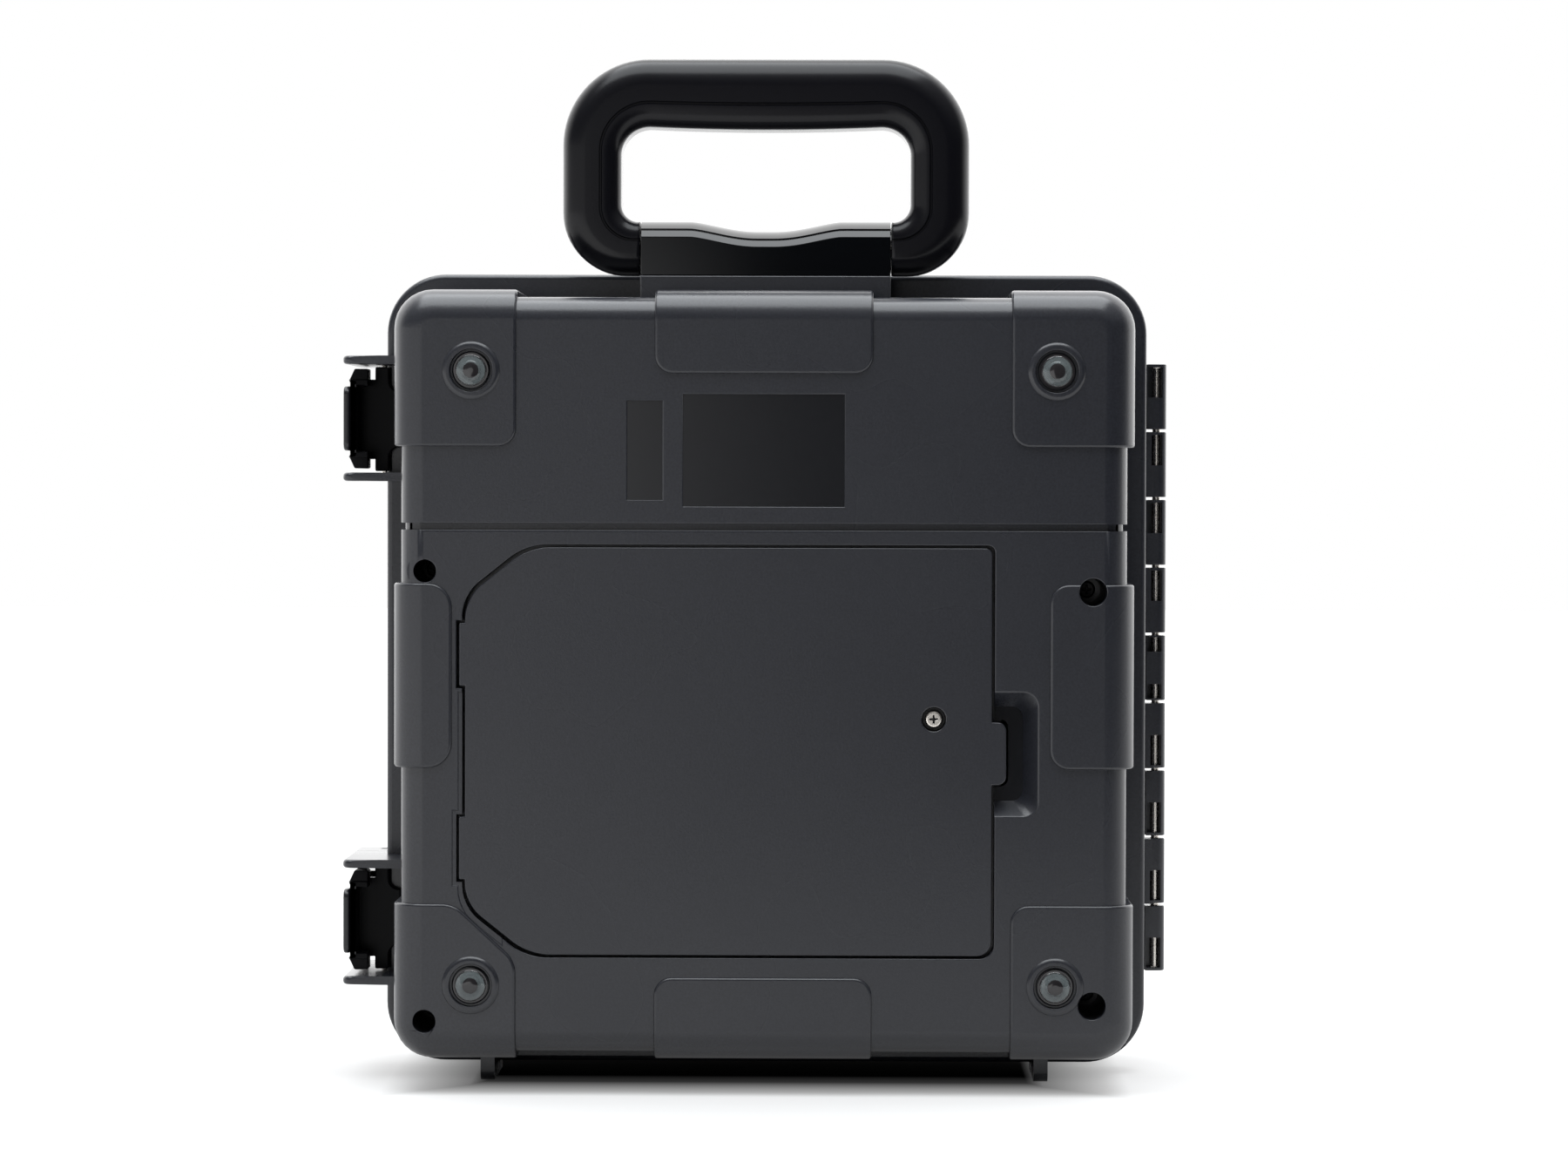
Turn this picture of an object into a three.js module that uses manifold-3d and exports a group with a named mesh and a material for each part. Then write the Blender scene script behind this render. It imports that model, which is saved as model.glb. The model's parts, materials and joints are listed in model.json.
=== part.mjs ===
// A hard plastic case with an electrical test instrument in its base.
// It stands on edge: +Z is up, the back of the base faces -Y, the lid is on the +Y side,
// the latches are on the -X side and the long pin hinge is on the +X side.
// Lengths are millimetres. Places are counted from the middle of the case in X,
// from the face of the bumper pads in Y and from the floor in Z, until the last lines
// set the origin at the bottom centre of the whole.
import * as THREE from 'three';
import { mergeVertices } from 'three/addons/utils/BufferGeometryUtils.js';
import Module from 'manifold-3d';

const wasm = await Module();
wasm.setup();

// General
const gap = 0.3;
const overrun = 2;
const weld = 0.0001;
const arcSteps = 4;
const roundSteps = 16;
const smallSteps = 8;
const filletSteps = 3;

// Case shells
const padWidth = 227.6;
const padHeight = 236.6;
const padCornerRadius = 12;
const faceFillet = 9.5;
const sideRecess = 2.3;
const faceRecess = 1;
const wall = 3;
const baseDepth = 70;
const lidDepth = 49.5;
const rimOverhang = 6.75;
const rimDepth = 13;
const lidRimDepth = 9.5;
const rimEdge = 1.2;
const rimSkirt = 3;
const footDrop = 3.5;
const grooveWidth = 2.1;
const grooveDepth = 1.3;
const grooveAbove = 45.6;

// Bumper pads
const cornerPadWidth = 38;
const cornerPadHeight = 48.2;
const cornerPadRadius = 5.5;
const cornerPadCutAcross = 18.8;
const cornerPadCutUp = 17.4;
const endPadWidth = 66.8;
const endPadHeight = 25.8;
const endPadRadius = 5.5;
const sidePadHeight = 56.8;
const latchPadWidth = 18.4;
const latchPadRadius = 7.4;
const hingePadWidth = 26.1;
const hingePadRadius = 5.8;

// Clear feet on the corner pads, counted in from the pads' outer edges
const footIn = 24.3;
const footTopIn = 25;
const footBottomIn = 23.3;
const footRadius = 5.3;
const footStand = 2;
const footSocketDepth = 2.2;
const footBossRadius = 8.2;
const footBossStand = 0.6;

// Deep wells with the case screws, counted in from the pads' outer edges
const latchWellIn = 10;
const hingeWellIn = 13;
const latchWellBottomIn = 12.1;
const hingeWellBottomIn = 17.5;
const hingeWellPadIn = 2.5;
const latchWellRadius = 3.5;
const hingeWellRadius = 4.2;
const wellWall = 2;
const wellDepth = 42;
const wellFloor = 4;

// Machine screws
const screwRadius = 1.5;
const screwHeadRadius = 2.7;
const screwHeadHeight = 1.9;
const screwClearance = 0.4;
const crossWidth = 0.8;
const crossDepth = 1;
const crossReachShare = 0.7;
const caseScrewLength = 12;
const coverScrewLength = 9;

// Bare label recesses, the large one on the middle of the case
const labelDepth = 0.4;
const labelRadius = 0.6;
const labelUp = 69;
const labelWidth = 49.4;
const labelHeight = 34.3;
const smallLabelX = 36.4;
const smallLabelWidth = 10.7;
const smallLabelHeight = 30.3;

// Battery cover, counted in from the pads' outer edges
const coverLatchIn = 22.4;
const coverHingeIn = 43.8;
const coverUp = 39.3;
const coverBottomIn = 32.6;
const coverThickness = 2.5;
const coverGap = 0.8;
const coverCutAcross = 19.6;
const coverCutUp = 15.6;
const coverCutRadius = 6;
const coverTopRadius = 2.2;
const coverBottomRadius = 4.5;
const coverLedge = 3;
const coverTabLength = 1.8;
const coverTabWidth = 19.2;
const coverTabTopIn = 32.9;
const coverTabBottomIn = 32.7;
const coverScrewIn = 17.8;
const coverScrewDown = 13.1;
const coverScrewRecess = 3.7;
const coverScrewSink = 1.1;
const fingerTabLength = 4.4;
const fingerTabWidth = 19.2;
const fingerTabDown = 23.6;
const fingerTabRadius = 2.6;
const pocketWidth = 14.2;
const pocketHeight = 38.2;
const pocketRadius = 4.6;
const pocketDepth = 5.5;
const pocketSlope = 2.4;
const pocketWall = 2;

// Battery compartment and holder
const compartmentDepth = 26;
const compartmentWall = 2;
const bossRadius = 4;
const cellRadius = 7.1;
const cellLength = 50.5;
const cellNubRadius = 2.7;
const cellNub = 1.2;
const cellGap = 1;
const cellRows = 4;
const cellGrip = 2.4;
const contactGap = 3;
const contactThickness = 0.5;
const holderWall = 1.6;
const holderFloor = 1.8;
const holderFromLeft = 8;
const holderDown = 23.2;

// Long pin hinge
const hingeOut = 4;
const barrelRadius = 3.25;
const hingePinRadius = 1.3;
const hingeEndIn = 28.1;
const knuckleCount = 9;
const knuckleGap = 0.9;
const knuckleWeb = 5.6;
const windowLength = 10.6;
const windowWidth = 3.6;
const middleWindowLength = 5.2;
const hingeCap = 0.8;
const hingeUp = 0.3;

// Guard fins beside the latches
const latchEndIn = 46.05;
const finInnerGap = 33.9;
const finThickness = 2.7;
const finReach = 18.6;
const finRun = 23;
const lidFinLength = 16.4;
const finRadius = 3;

// Latches
const latchPinRadius = 1.3;
const latchPinOut = 2.6;
const latchPinBack = 10;
const latchBarrelRadius = 2.5;
const latchWidth = 31.3;
const latchInner = 4;
const latchOuter = 10.4;
const latchRun = 16;
const latchSkin = 2.2;
const latchChamfer = 3.2;
const clawDepth = 3.6;
const clawBarWidth = 33;
const clawBarInner = 0.6;
const clawTongueWidth = 17.8;
const clawTongueReach = 5.4;
const clawNeckWidth = 25;
const fingerPlateWidth = 19.8;
const fingerPlateLength = 9;
const fingerPlateThickness = 2;
const fingerPlateRadius = 2.6;
const fingerPlateOut = 11.8;

// Feet fins that the case stands on
const standIn = 27.1;
const standThickness = 4.4;
const standRadius = 3;

// Carrying handle and its bracket
const handleWidth = 127;
const handleHeight = 67.4;
const handleArm = 18.4;
const handleGrip = 20.9;
const handleFoot = 16.5;
const handleLift = 0.5;
const handleThickness = 22;
const handleBackGap = 6;
const handleTopRadius = 27;
const handleBottomRadius = 19.5;
const handleOpeningRadius = 9.4;
const handleFootRadius = 5.4;
const handleRound = 6;
const handlePivotUp = 8.1;
const handlePivotRadius = 2;
const handlePivotReach = 8;
const bracketIn = 6.2;
const bracketHeight = 16.6;
const bracketThickness = 20;
const bracketShoulder = 15.4;
const bracketDip = 3.1;
const bracketDipRun = 5;
const bracketEdge = 0.8;
const bossHeight = 7.45;
const bossReach = 14;

// Seal between the shells
const sealWidth = 5;
const tongueWidth = 3;
const tongueDepth = 3;

// Instrument panel and what it carries. The shares split the free height of the panel
// from the top: above the display, above and below the keys, above and below the terminals
const panelSpaceShares = [0.2, 0.15, 0.15, 0.27, 0.23];
const panelDrop = 8;
const panelThickness = 3;
const panelFit = 0.4;
const panelBossRadius = 3.7;
const displayWidth = 112;
const displayHeight = 62;
const displayRadius = 3;
const displayLedge = 2;
const windowThickness = 1.5;
const displayModuleDepth = 5;
const boardThickness = 1.6;
const boardSideIn = 18.5;
const boardTopIn = 16;
const boardHeight = 150;
const boardDrop = 16;
const boardPostRadius = 2.6;
const boardPostIn = 8.5;
const knobRadius = 21;
const shaftStand = 6.5;
const knobX = 0;
const knobGripWidth = 9;
const knobGripRadius = 3;
const knobGripHeight = 6;
const knobSkirt = 4;
const shaftRadius = 3;
const switchRadius = 13;
const switchDepth = 9;
const switchFloor = 1.5;
const buttonX = 62;
const buttonRadius = 11;
const buttonStand = 5;
const buttonTravel = 3;
const buttonFlange = 1.5;
const keyCount = 4;
const keyPitch = 26;
const keyWidth = 18;
const keyHeight = 9;
const keyRadius = 2.5;
const keyStand = 2;
const keyTravel = 1;
const terminalCount = 3;
const terminalPitch = 30;
const terminalRadius = 8;
const terminalStand = 6;
const terminalBore = 2.2;
const terminalNeck = 5.6;
const terminalTail = 9;

// Derived places
const rimWidth = padWidth + 2 * rimOverhang;
const rimHeight = padHeight + 2 * rimOverhang;
const rimRadius = padCornerRadius + rimOverhang;
const rimSide = rimWidth / 2;
const midZ = footDrop + rimHeight / 2;
const bodyWidth = padWidth - 2 * sideRecess;
const bodyHeight = padHeight - 2 * sideRecess;
const bodyRadius = padCornerRadius - sideRecess;
const bodySide = bodyWidth / 2;
const hollowWidth = bodyWidth - 2 * wall;
const hollowHeight = bodyHeight - 2 * wall;
const hollowRadius = bodyRadius - wall / 2;
const partingY = baseDepth;
const baseRimY = partingY - gap / 2;
const lidRimY = partingY + gap / 2;
const lidBackY = partingY + lidDepth;
const rimFrontY = partingY - rimDepth;
const lidRimBackY = partingY + lidRimDepth;
const hingeX = rimSide + hingeOut;
const hingeLength = rimHeight - 2 * hingeEndIn;
const hingeBottom = midZ + hingeUp - hingeLength / 2;
const knuckleLength = (hingeLength - (knuckleCount - 1) * knuckleGap) / knuckleCount;
const finTip = padWidth / 2 + finReach;
const finFront = rimFrontY - finRun;
const latchFront = rimFrontY - latchRun;
const latchSpacing = rimHeight - 2 * latchEndIn;
const panelTopY = partingY - panelDrop;
const panelY = panelTopY - panelThickness;
const boardY = panelY - boardDrop;
const coverBackY = faceRecess + coverThickness;
const coverLeftX = coverLatchIn - padWidth / 2;
const coverRightX = padWidth / 2 - coverHingeIn;
const coverTopZ = midZ + coverUp;
const coverBottomZ = midZ - padHeight / 2 + coverBottomIn;
const coverSeatY = faceRecess + coverScrewSink + screwHeadHeight + gap;
const coverScrewX = coverRightX - coverScrewIn;
const bodyTopZ = midZ + bodyHeight / 2;
const bossTopZ = bodyTopZ + bossHeight;
const handleOpeningWidth = handleWidth - 2 * handleArm;
const handleBottomZ = bossTopZ + handleLift;
const handleTopZ = handleBottomZ + handleHeight;
const handleOpeningTopZ = handleTopZ - handleGrip;
const handleOpeningBottomZ = handleBottomZ + handleFoot;
const handlePivotZ = handleBottomZ + handlePivotUp;
const handleMiddle = rimFrontY - handleBackGap - handleThickness / 2;
const bracketWidth = handleOpeningWidth - 2 * bracketIn;
const bracketTopZ = bossTopZ + bracketHeight;
const bracketDipWidth = bracketWidth - 2 * bracketShoulder;

// Solids from three.js geometry, and the joins and cuts between them

function solidOf(geometry) {
  const bare = geometry.clone();
  bare.deleteAttribute('normal');
  bare.deleteAttribute('uv');
  const merged = mergeVertices(bare, weld);
  const index = merged.index.array;
  const kept = [];
  for (let i = 0; i < index.length; i += 3) {
    const [a, b, c] = [index[i], index[i + 1], index[i + 2]];
    if (a !== b && b !== c && c !== a) kept.push(a, b, c);
  }
  const vertProperties = new Float32Array(merged.attributes.position.array);
  const mesh = new wasm.Mesh({ numProp: 3, vertProperties, triVerts: new Uint32Array(kept) });
  return new wasm.Manifold(mesh);
}

function geometryOf(solid) {
  const mesh = solid.getMesh();
  const geometry = new THREE.BufferGeometry();
  geometry.setAttribute('position', new THREE.BufferAttribute(mesh.vertProperties, 3));
  geometry.setIndex(new THREE.BufferAttribute(mesh.triVerts, 1));
  geometry.computeVertexNormals();
  return geometry;
}

function joinAll(first, ...others) {
  return others.reduce((sum, other) => sum.add(other), first);
}

function cutAll(first, ...others) {
  return others.reduce((rest, other) => rest.subtract(other), first);
}

// A closed outline through corners [across, up, radius], with an arc at each rounded one
function outlineOf(corners, steps = arcSteps) {
  const points = [];
  corners.forEach(([x, y, radius = 0], i) => {
    const corner = new THREE.Vector2(x, y);
    if (radius <= 0) {
      points.push(corner);
      return;
    }
    const before = corners[(i + corners.length - 1) % corners.length];
    const after = corners[(i + 1) % corners.length];
    const back = new THREE.Vector2(before[0], before[1]).sub(corner).normalize();
    const on = new THREE.Vector2(after[0], after[1]).sub(corner).normalize();
    const half = Math.acos(THREE.MathUtils.clamp(back.dot(on), -1, 1)) / 2;
    const middle = back.clone().add(on).normalize();
    const centre = corner.clone().addScaledVector(middle, radius / Math.sin(half));
    const start = corner.clone().addScaledVector(back, radius / Math.tan(half)).sub(centre);
    const turn = Math.PI - 2 * half;
    const side = Math.sign(back.x * on.y - back.y * on.x);
    for (let step = 0; step <= steps; step += 1) {
      const arm = start.clone().rotateAround(new THREE.Vector2(), -side * turn * step / steps);
      points.push(arm.add(centre));
    }
  });
  return new THREE.Shape(points);
}

function rectangle(left, right, bottom, top, radius = 0) {
  const [width, height] = [right - left, top - bottom];
  const round = Math.max(0, Math.min(radius, width / 2 - weld, height / 2 - weld));
  return outlineOf([[left, bottom, round], [right, bottom, round], [right, top, round], [left, top, round]]);
}

function centred(width, height, radius = 0) {
  return rectangle(-width / 2, width / 2, midZ - height / 2, midZ + height / 2, radius);
}

function extruded(shape, length, round) {
  const settings = { depth: length - 2 * round, bevelEnabled: round > 0, curveSegments: arcSteps };
  Object.assign(settings, { bevelThickness: round, bevelSize: round, bevelOffset: -round });
  Object.assign(settings, { bevelSegments: filletSteps, steps: 1 });
  const geometry = new THREE.ExtrudeGeometry(shape, settings);
  geometry.translate(0, 0, round);
  return geometry;
}

// An outline in X and Z, made solid from one depth in Y to another
function slab(shape, fromY, toY, round = 0) {
  const geometry = extruded(shape, toY - fromY, round);
  geometry.rotateX(Math.PI / 2);
  geometry.translate(0, toY, 0);
  return solidOf(geometry);
}

// An outline in X and Y, made solid from one height in Z to another
function prism(shape, fromZ, toZ, round = 0) {
  const geometry = extruded(shape, toZ - fromZ, round);
  geometry.translate(0, 0, fromZ);
  return solidOf(geometry);
}

// An outline in Y and Z, made solid from one place in X to another
function slice(shape, fromX, toX, round = 0) {
  const geometry = extruded(shape, toX - fromX, round);
  geometry.rotateX(Math.PI / 2);
  geometry.rotateZ(Math.PI / 2);
  geometry.translate(fromX, 0, 0);
  return solidOf(geometry);
}

function block(left, right, front, back, bottom, top) {
  const geometry = new THREE.BoxGeometry(right - left, back - front, top - bottom);
  geometry.translate((left + right) / 2, (front + back) / 2, (bottom + top) / 2);
  return solidOf(geometry);
}

function rodAlongY(x, z, radius, front, back, steps = roundSteps) {
  const geometry = new THREE.CylinderGeometry(radius, radius, back - front, steps);
  geometry.translate(x, (front + back) / 2, z);
  return solidOf(geometry);
}

function rodAlongZ(x, y, radius, bottom, top, steps = roundSteps) {
  const geometry = new THREE.CylinderGeometry(radius, radius, top - bottom, steps);
  geometry.rotateX(Math.PI / 2);
  geometry.translate(x, y, (bottom + top) / 2);
  return solidOf(geometry);
}

function rodAlongX(y, z, radius, left, right, steps = roundSteps) {
  const geometry = new THREE.CylinderGeometry(radius, radius, right - left, steps);
  geometry.rotateZ(Math.PI / 2);
  geometry.translate((left + right) / 2, y, z);
  return solidOf(geometry);
}

// A profile of [radius, along] turned round an axis along Y
function turnedAlongY(profile, x, z, steps = roundSteps) {
  const points = profile.map(([radius, along]) => new THREE.Vector2(radius, along));
  const geometry = new THREE.LatheGeometry(points, steps);
  geometry.translate(x, 0, z);
  return solidOf(geometry);
}

// A rounded box with its fillet at one end only
function shellBody(width, height, radius, fillet, faceY, rimY) {
  const pastRim = rimY + Math.sign(rimY - faceY) * (fillet + overrun);
  const whole = slab(centred(width, height, radius), Math.min(faceY, pastRim),
    Math.max(faceY, pastRim), fillet);
  const side = Math.max(width, height);
  const [front, back] = [Math.min(faceY, rimY), Math.max(faceY, rimY)];
  return whole.intersect(block(-side, side, front, back, midZ - side, midZ + side));
}

// Bumper pads

function padOutlines() {
  const side = padWidth / 2 + overrun;
  const end = padHeight / 2 + overrun;
  const inX = padWidth / 2 - cornerPadWidth;
  const inZ = padHeight / 2 - cornerPadHeight;
  const endIn = padHeight / 2 - endPadHeight;
  const halfSide = sidePadHeight / 2;
  const outlines = [];
  for (const [across, up] of [[-1, 1], [1, 1], [1, -1]]) {
    const [x0, x1] = [inX * across, side * across];
    const [z0, z1] = [midZ + inZ * up, midZ + end * up];
    const corners = [[x0, z0, cornerPadRadius], [x1, z0], [x1, z1], [x0, z1]];
    outlines.push(outlineOf(across * up > 0 ? corners : corners.reverse()));
  }
  const cutX = -inX - cornerPadCutAcross;
  const cutZ = midZ - inZ - cornerPadCutUp;
  outlines.push(outlineOf([[-side, midZ - end], [-inX, midZ - end],
    [-inX, cutZ, cornerPadRadius], [cutX, midZ - inZ, cornerPadRadius], [-side, midZ - inZ]]));
  for (const up of [-1, 1]) {
    const [low, high] = up > 0 ? [midZ + endIn, midZ + end + endPadRadius]
      : [midZ - end - endPadRadius, midZ - endIn];
    outlines.push(rectangle(-endPadWidth / 2, endPadWidth / 2, low, high, endPadRadius));
  }
  outlines.push(rectangle(-side - latchPadRadius, latchPadWidth - padWidth / 2,
    midZ - halfSide, midZ + halfSide, latchPadRadius));
  outlines.push(rectangle(padWidth / 2 - hingePadWidth, side + hingePadRadius,
    midZ - halfSide, midZ + halfSide, hingePadRadius));
  return outlines;
}

function caseBody(faceY, rimY) {
  const inward = Math.sign(rimY - faceY);
  const recessY = faceY + inward * faceRecess;
  const body = shellBody(bodyWidth, bodyHeight, bodyRadius, bodyRadius - sideRecess, recessY, rimY);
  const proud = shellBody(padWidth, padHeight, padCornerRadius, faceFillet, faceY, rimY);
  const [front, back] = [Math.min(faceY, rimY) - overrun, Math.max(faceY, rimY) + overrun];
  const pads = padOutlines().map((outline) => slab(outline, front, back));
  return body.add(proud.intersect(joinAll(...pads)));
}

function rimRing(front, back) {
  return slab(centred(rimWidth, rimHeight, rimRadius), front, back, rimEdge);
}

function hollow(front, back) {
  return slab(centred(hollowWidth, hollowHeight, hollowRadius), front, back);
}

// The long hinge

function knuckleFrom(index) {
  return hingeBottom + (knuckleCount - 1 - index) * (knuckleLength + knuckleGap);
}

// The far end of each knuckle from the middle one is open at the front, so the pin shows
function hingeWindows(index) {
  const low = knuckleFrom(index);
  const high = low + knuckleLength;
  const middle = (knuckleCount - 1) / 2;
  const spans = [];
  if (index < middle) spans.push([high - windowLength, high - hingeCap]);
  if (index > middle) spans.push([low + hingeCap, low + windowLength]);
  if (index === middle) {
    spans.push([low + hingeCap / 2, low + middleWindowLength]);
    spans.push([high - middleWindowLength, high - hingeCap / 2]);
  }
  return spans.map(([from, to]) => block(hingeX - windowWidth / 2, hingeX + windowWidth / 2,
    partingY - barrelRadius - overrun, partingY, from, to));
}

function knuckle(index, webFront, webBack) {
  const low = knuckleFrom(index);
  const high = low + knuckleLength;
  const barrel = rodAlongZ(hingeX, partingY, barrelRadius, low, high);
  const web = block(rimSide - rimSkirt / 2, hingeX, webFront, webBack, low, high);
  return joinAll(barrel, web);
}

function hingeBore(index) {
  const low = knuckleFrom(index);
  const isTop = index === 0;
  const isBottom = index === knuckleCount - 1;
  const from = isBottom ? low + hingeCap : low - knuckleGap / 2;
  const to = low + knuckleLength + (isTop ? -hingeCap : knuckleGap / 2);
  return rodAlongZ(hingeX, partingY, hingePinRadius + gap, from, to, smallSteps);
}

function addKnuckles(shell, parity, webFront, webBack) {
  let result = shell;
  for (let index = parity; index < knuckleCount; index += 2) {
    result = result.add(knuckle(index, webFront, webBack));
  }
  for (let index = parity; index < knuckleCount; index += 2) {
    result = cutAll(result, hingeBore(index), ...hingeWindows(index));
  }
  return result;
}

function hingePin() {
  const low = hingeBottom + hingeCap + gap;
  const high = hingeBottom + hingeLength - hingeCap - gap;
  return rodAlongZ(hingeX, partingY, hingePinRadius, low, high, smallSteps);
}

// Guard fins, two beside each latch

function latchHeights() {
  return [midZ + latchSpacing / 2, midZ - latchSpacing / 2];
}

function guardFins(front, back, roundFront, roundBack) {
  const shape = outlineOf([[-finTip, front, roundFront], [-bodySide + wall / 2, front],
    [-bodySide + wall / 2, back], [-finTip, back, roundBack]]);
  return latchHeights().flatMap((z) => [-1, 1].map((side) => {
    const inner = z + side * finInnerGap / 2;
    const outer = inner + side * finThickness;
    return prism(shape, Math.min(inner, outer), Math.max(inner, outer));
  }));
}

// Latches

const latchPinX = -(rimSide + latchPinOut);
const latchPinY = lidRimY + latchPinBack;

function latchPin(z) {
  const half = finInnerGap / 2 + finThickness - gap;
  return rodAlongZ(latchPinX, latchPinY, latchPinRadius, z - half, z + half, smallSteps);
}

function latchLever(z) {
  const outer = -(rimSide + latchOuter);
  const inner = -(rimSide + latchInner);
  const half = latchWidth / 2;
  const barrelHalf = finInnerGap / 2 - gap;
  const clawBack = rimFrontY - gap;
  const clawFront = clawBack - clawDepth;
  const backY = latchPinY + latchBarrelRadius;
  const shell = slab(outlineOf([[inner, z - half], [inner, z + half],
    [outer + latchChamfer / 2, z + half], [outer, z + half - latchChamfer],
    [outer, z - half + latchChamfer], [outer + latchChamfer / 2, z - half]].reverse()),
  latchFront, backY);
  const channel = block(outer + latchSkin, inner + overrun, latchFront - overrun, clawFront,
    z - half + latchSkin, z + half - latchSkin);
  const seat = block(outer + latchSkin, inner + overrun, clawBack, latchPinY - latchBarrelRadius,
    z - half + latchSkin, z + half - latchSkin);
  const barrel = rodAlongZ(latchPinX, latchPinY, latchBarrelRadius, z - barrelHalf, z + barrelHalf);
  const root = block(inner - latchSkin, latchPinX, latchPinY - latchBarrelRadius,
    latchPinY + latchBarrelRadius, z - half, z + half);
  const barX = -(rimSide + clawBarInner);
  const bar = block(inner, barX, clawFront, clawBack, z - clawBarWidth / 2, z + clawBarWidth / 2);
  const tongue = slab(rectangle(barX - overrun, barX + clawTongueReach, z - clawTongueWidth / 2,
    z + clawTongueWidth / 2), clawFront, clawBack);
  const neck = block(outer + latchSkin / 2, inner + clawBarInner, clawFront, clawBack,
    z - clawNeckWidth / 2, z + clawNeckWidth / 2);
  const plateX = -(rimSide + fingerPlateOut);
  const plateFront = latchFront - fingerPlateLength / 2;
  const plate = slice(rectangle(plateFront, plateFront + fingerPlateLength,
    z - fingerPlateWidth / 2, z + fingerPlateWidth / 2, fingerPlateRadius),
  plateX, plateX + fingerPlateThickness);
  const body = cutAll(shell, channel, seat);
  const whole = joinAll(body, root, barrel, neck, bar, tongue, plate);
  const bore = rodAlongZ(latchPinX, latchPinY, latchPinRadius + gap, z - barrelHalf - overrun,
    z + barrelHalf + overrun, smallSteps);
  return cutAll(whole, bore);
}

// Machine screws with a cross recess, head towards the back of the case

function screwAlongY(x, z, seatY, length) {
  const headY = seatY - screwHeadHeight;
  const screw = turnedAlongY([[0, headY], [screwHeadRadius, headY], [screwHeadRadius, seatY],
    [screwRadius, seatY], [screwRadius, seatY + length], [0, seatY + length]], x, z, smallSteps);
  const arm = screwHeadRadius * crossReachShare;
  const cut = (halfX, halfZ) => block(x - halfX, x + halfX, headY - overrun, headY + crossDepth,
    z - halfZ, z + halfZ);
  return cutAll(screw, cut(arm, crossWidth / 2), cut(crossWidth / 2, arm));
}

function wells() {
  const [latchX, hingeSideX] = [latchWellIn - padWidth / 2, padWidth / 2 - hingeWellIn];
  const [padTop, bottom] = [midZ + sidePadHeight / 2, midZ - padHeight / 2];
  return [
    { x: latchX, z: padTop + latchWellRadius, radius: latchWellRadius },
    { x: latchX, z: bottom + latchWellBottomIn, radius: latchWellRadius },
    { x: hingeSideX, z: padTop - hingeWellPadIn, radius: hingeWellRadius },
    { x: hingeSideX, z: bottom + hingeWellBottomIn, radius: hingeWellRadius },
  ];
}

function feet() {
  const x = padWidth / 2 - footIn;
  const top = midZ + padHeight / 2 - footTopIn;
  const bottom = midZ - padHeight / 2 + footBottomIn;
  return [[-x, top], [x, top], [-x, bottom], [x, bottom]];
}

// Battery cover and the frame that it sits in

function coverOutline(grow) {
  const left = coverLeftX - grow;
  const right = coverRightX + grow;
  const [bottom, top] = [coverBottomZ - grow, coverTopZ + grow];
  return outlineOf([[left + coverCutAcross, bottom, coverCutRadius], [right, bottom, coverBottomRadius],
    [right, top, coverTopRadius], [left + coverCutAcross, top, coverCutRadius],
    [left, top - coverCutUp, coverCutRadius], [left, bottom + coverCutUp, coverCutRadius]]);
}

function coverTabs(grow, fromY, toY) {
  const half = coverTabWidth / 2 + grow;
  return [coverTopZ - coverTabTopIn, coverBottomZ + coverTabBottomIn].map((z) => (
    block(coverLeftX - coverTabLength - grow, coverLeftX + overrun, fromY, toY, z - half, z + half)));
}

function fingerTab(grow, fromY, toY) {
  const z = midZ - fingerTabDown;
  const half = fingerTabWidth / 2 + grow;
  return slab(rectangle(coverRightX - fingerTabRadius - overrun, coverRightX + fingerTabLength + grow,
    z - half, z + half, fingerTabRadius), fromY, toY);
}

function fingerPocket() {
  const z = midZ - fingerTabDown;
  return slab(rectangle(coverRightX - pocketRadius, coverRightX + pocketWidth, z - pocketHeight / 2,
    z + pocketHeight / 2, pocketRadius), faceRecess - pocketSlope, faceRecess + pocketDepth, pocketSlope);
}

function batteryCover() {
  const z = midZ - coverScrewDown;
  const plate = joinAll(slab(coverOutline(0), faceRecess, coverBackY),
    ...coverTabs(0, faceRecess, coverBackY), fingerTab(0, faceRecess, coverBackY));
  const sink = rodAlongY(coverScrewX, z, coverScrewRecess, faceRecess - overrun, coverSeatY);
  const sleeveBack = coverSeatY + wall / 2;
  const sleeve = rodAlongY(coverScrewX, z, coverScrewRecess + wall / 2, faceRecess + gap, sleeveBack);
  const hole = rodAlongY(coverScrewX, z, screwRadius + gap, faceRecess, sleeveBack + overrun, smallSteps);
  return cutAll(plate.add(sleeve), sink, hole);
}

// The battery compartment's inner faces
const roomLeft = coverLeftX + coverLedge;
const roomBackY = faceRecess + compartmentDepth;

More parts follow.
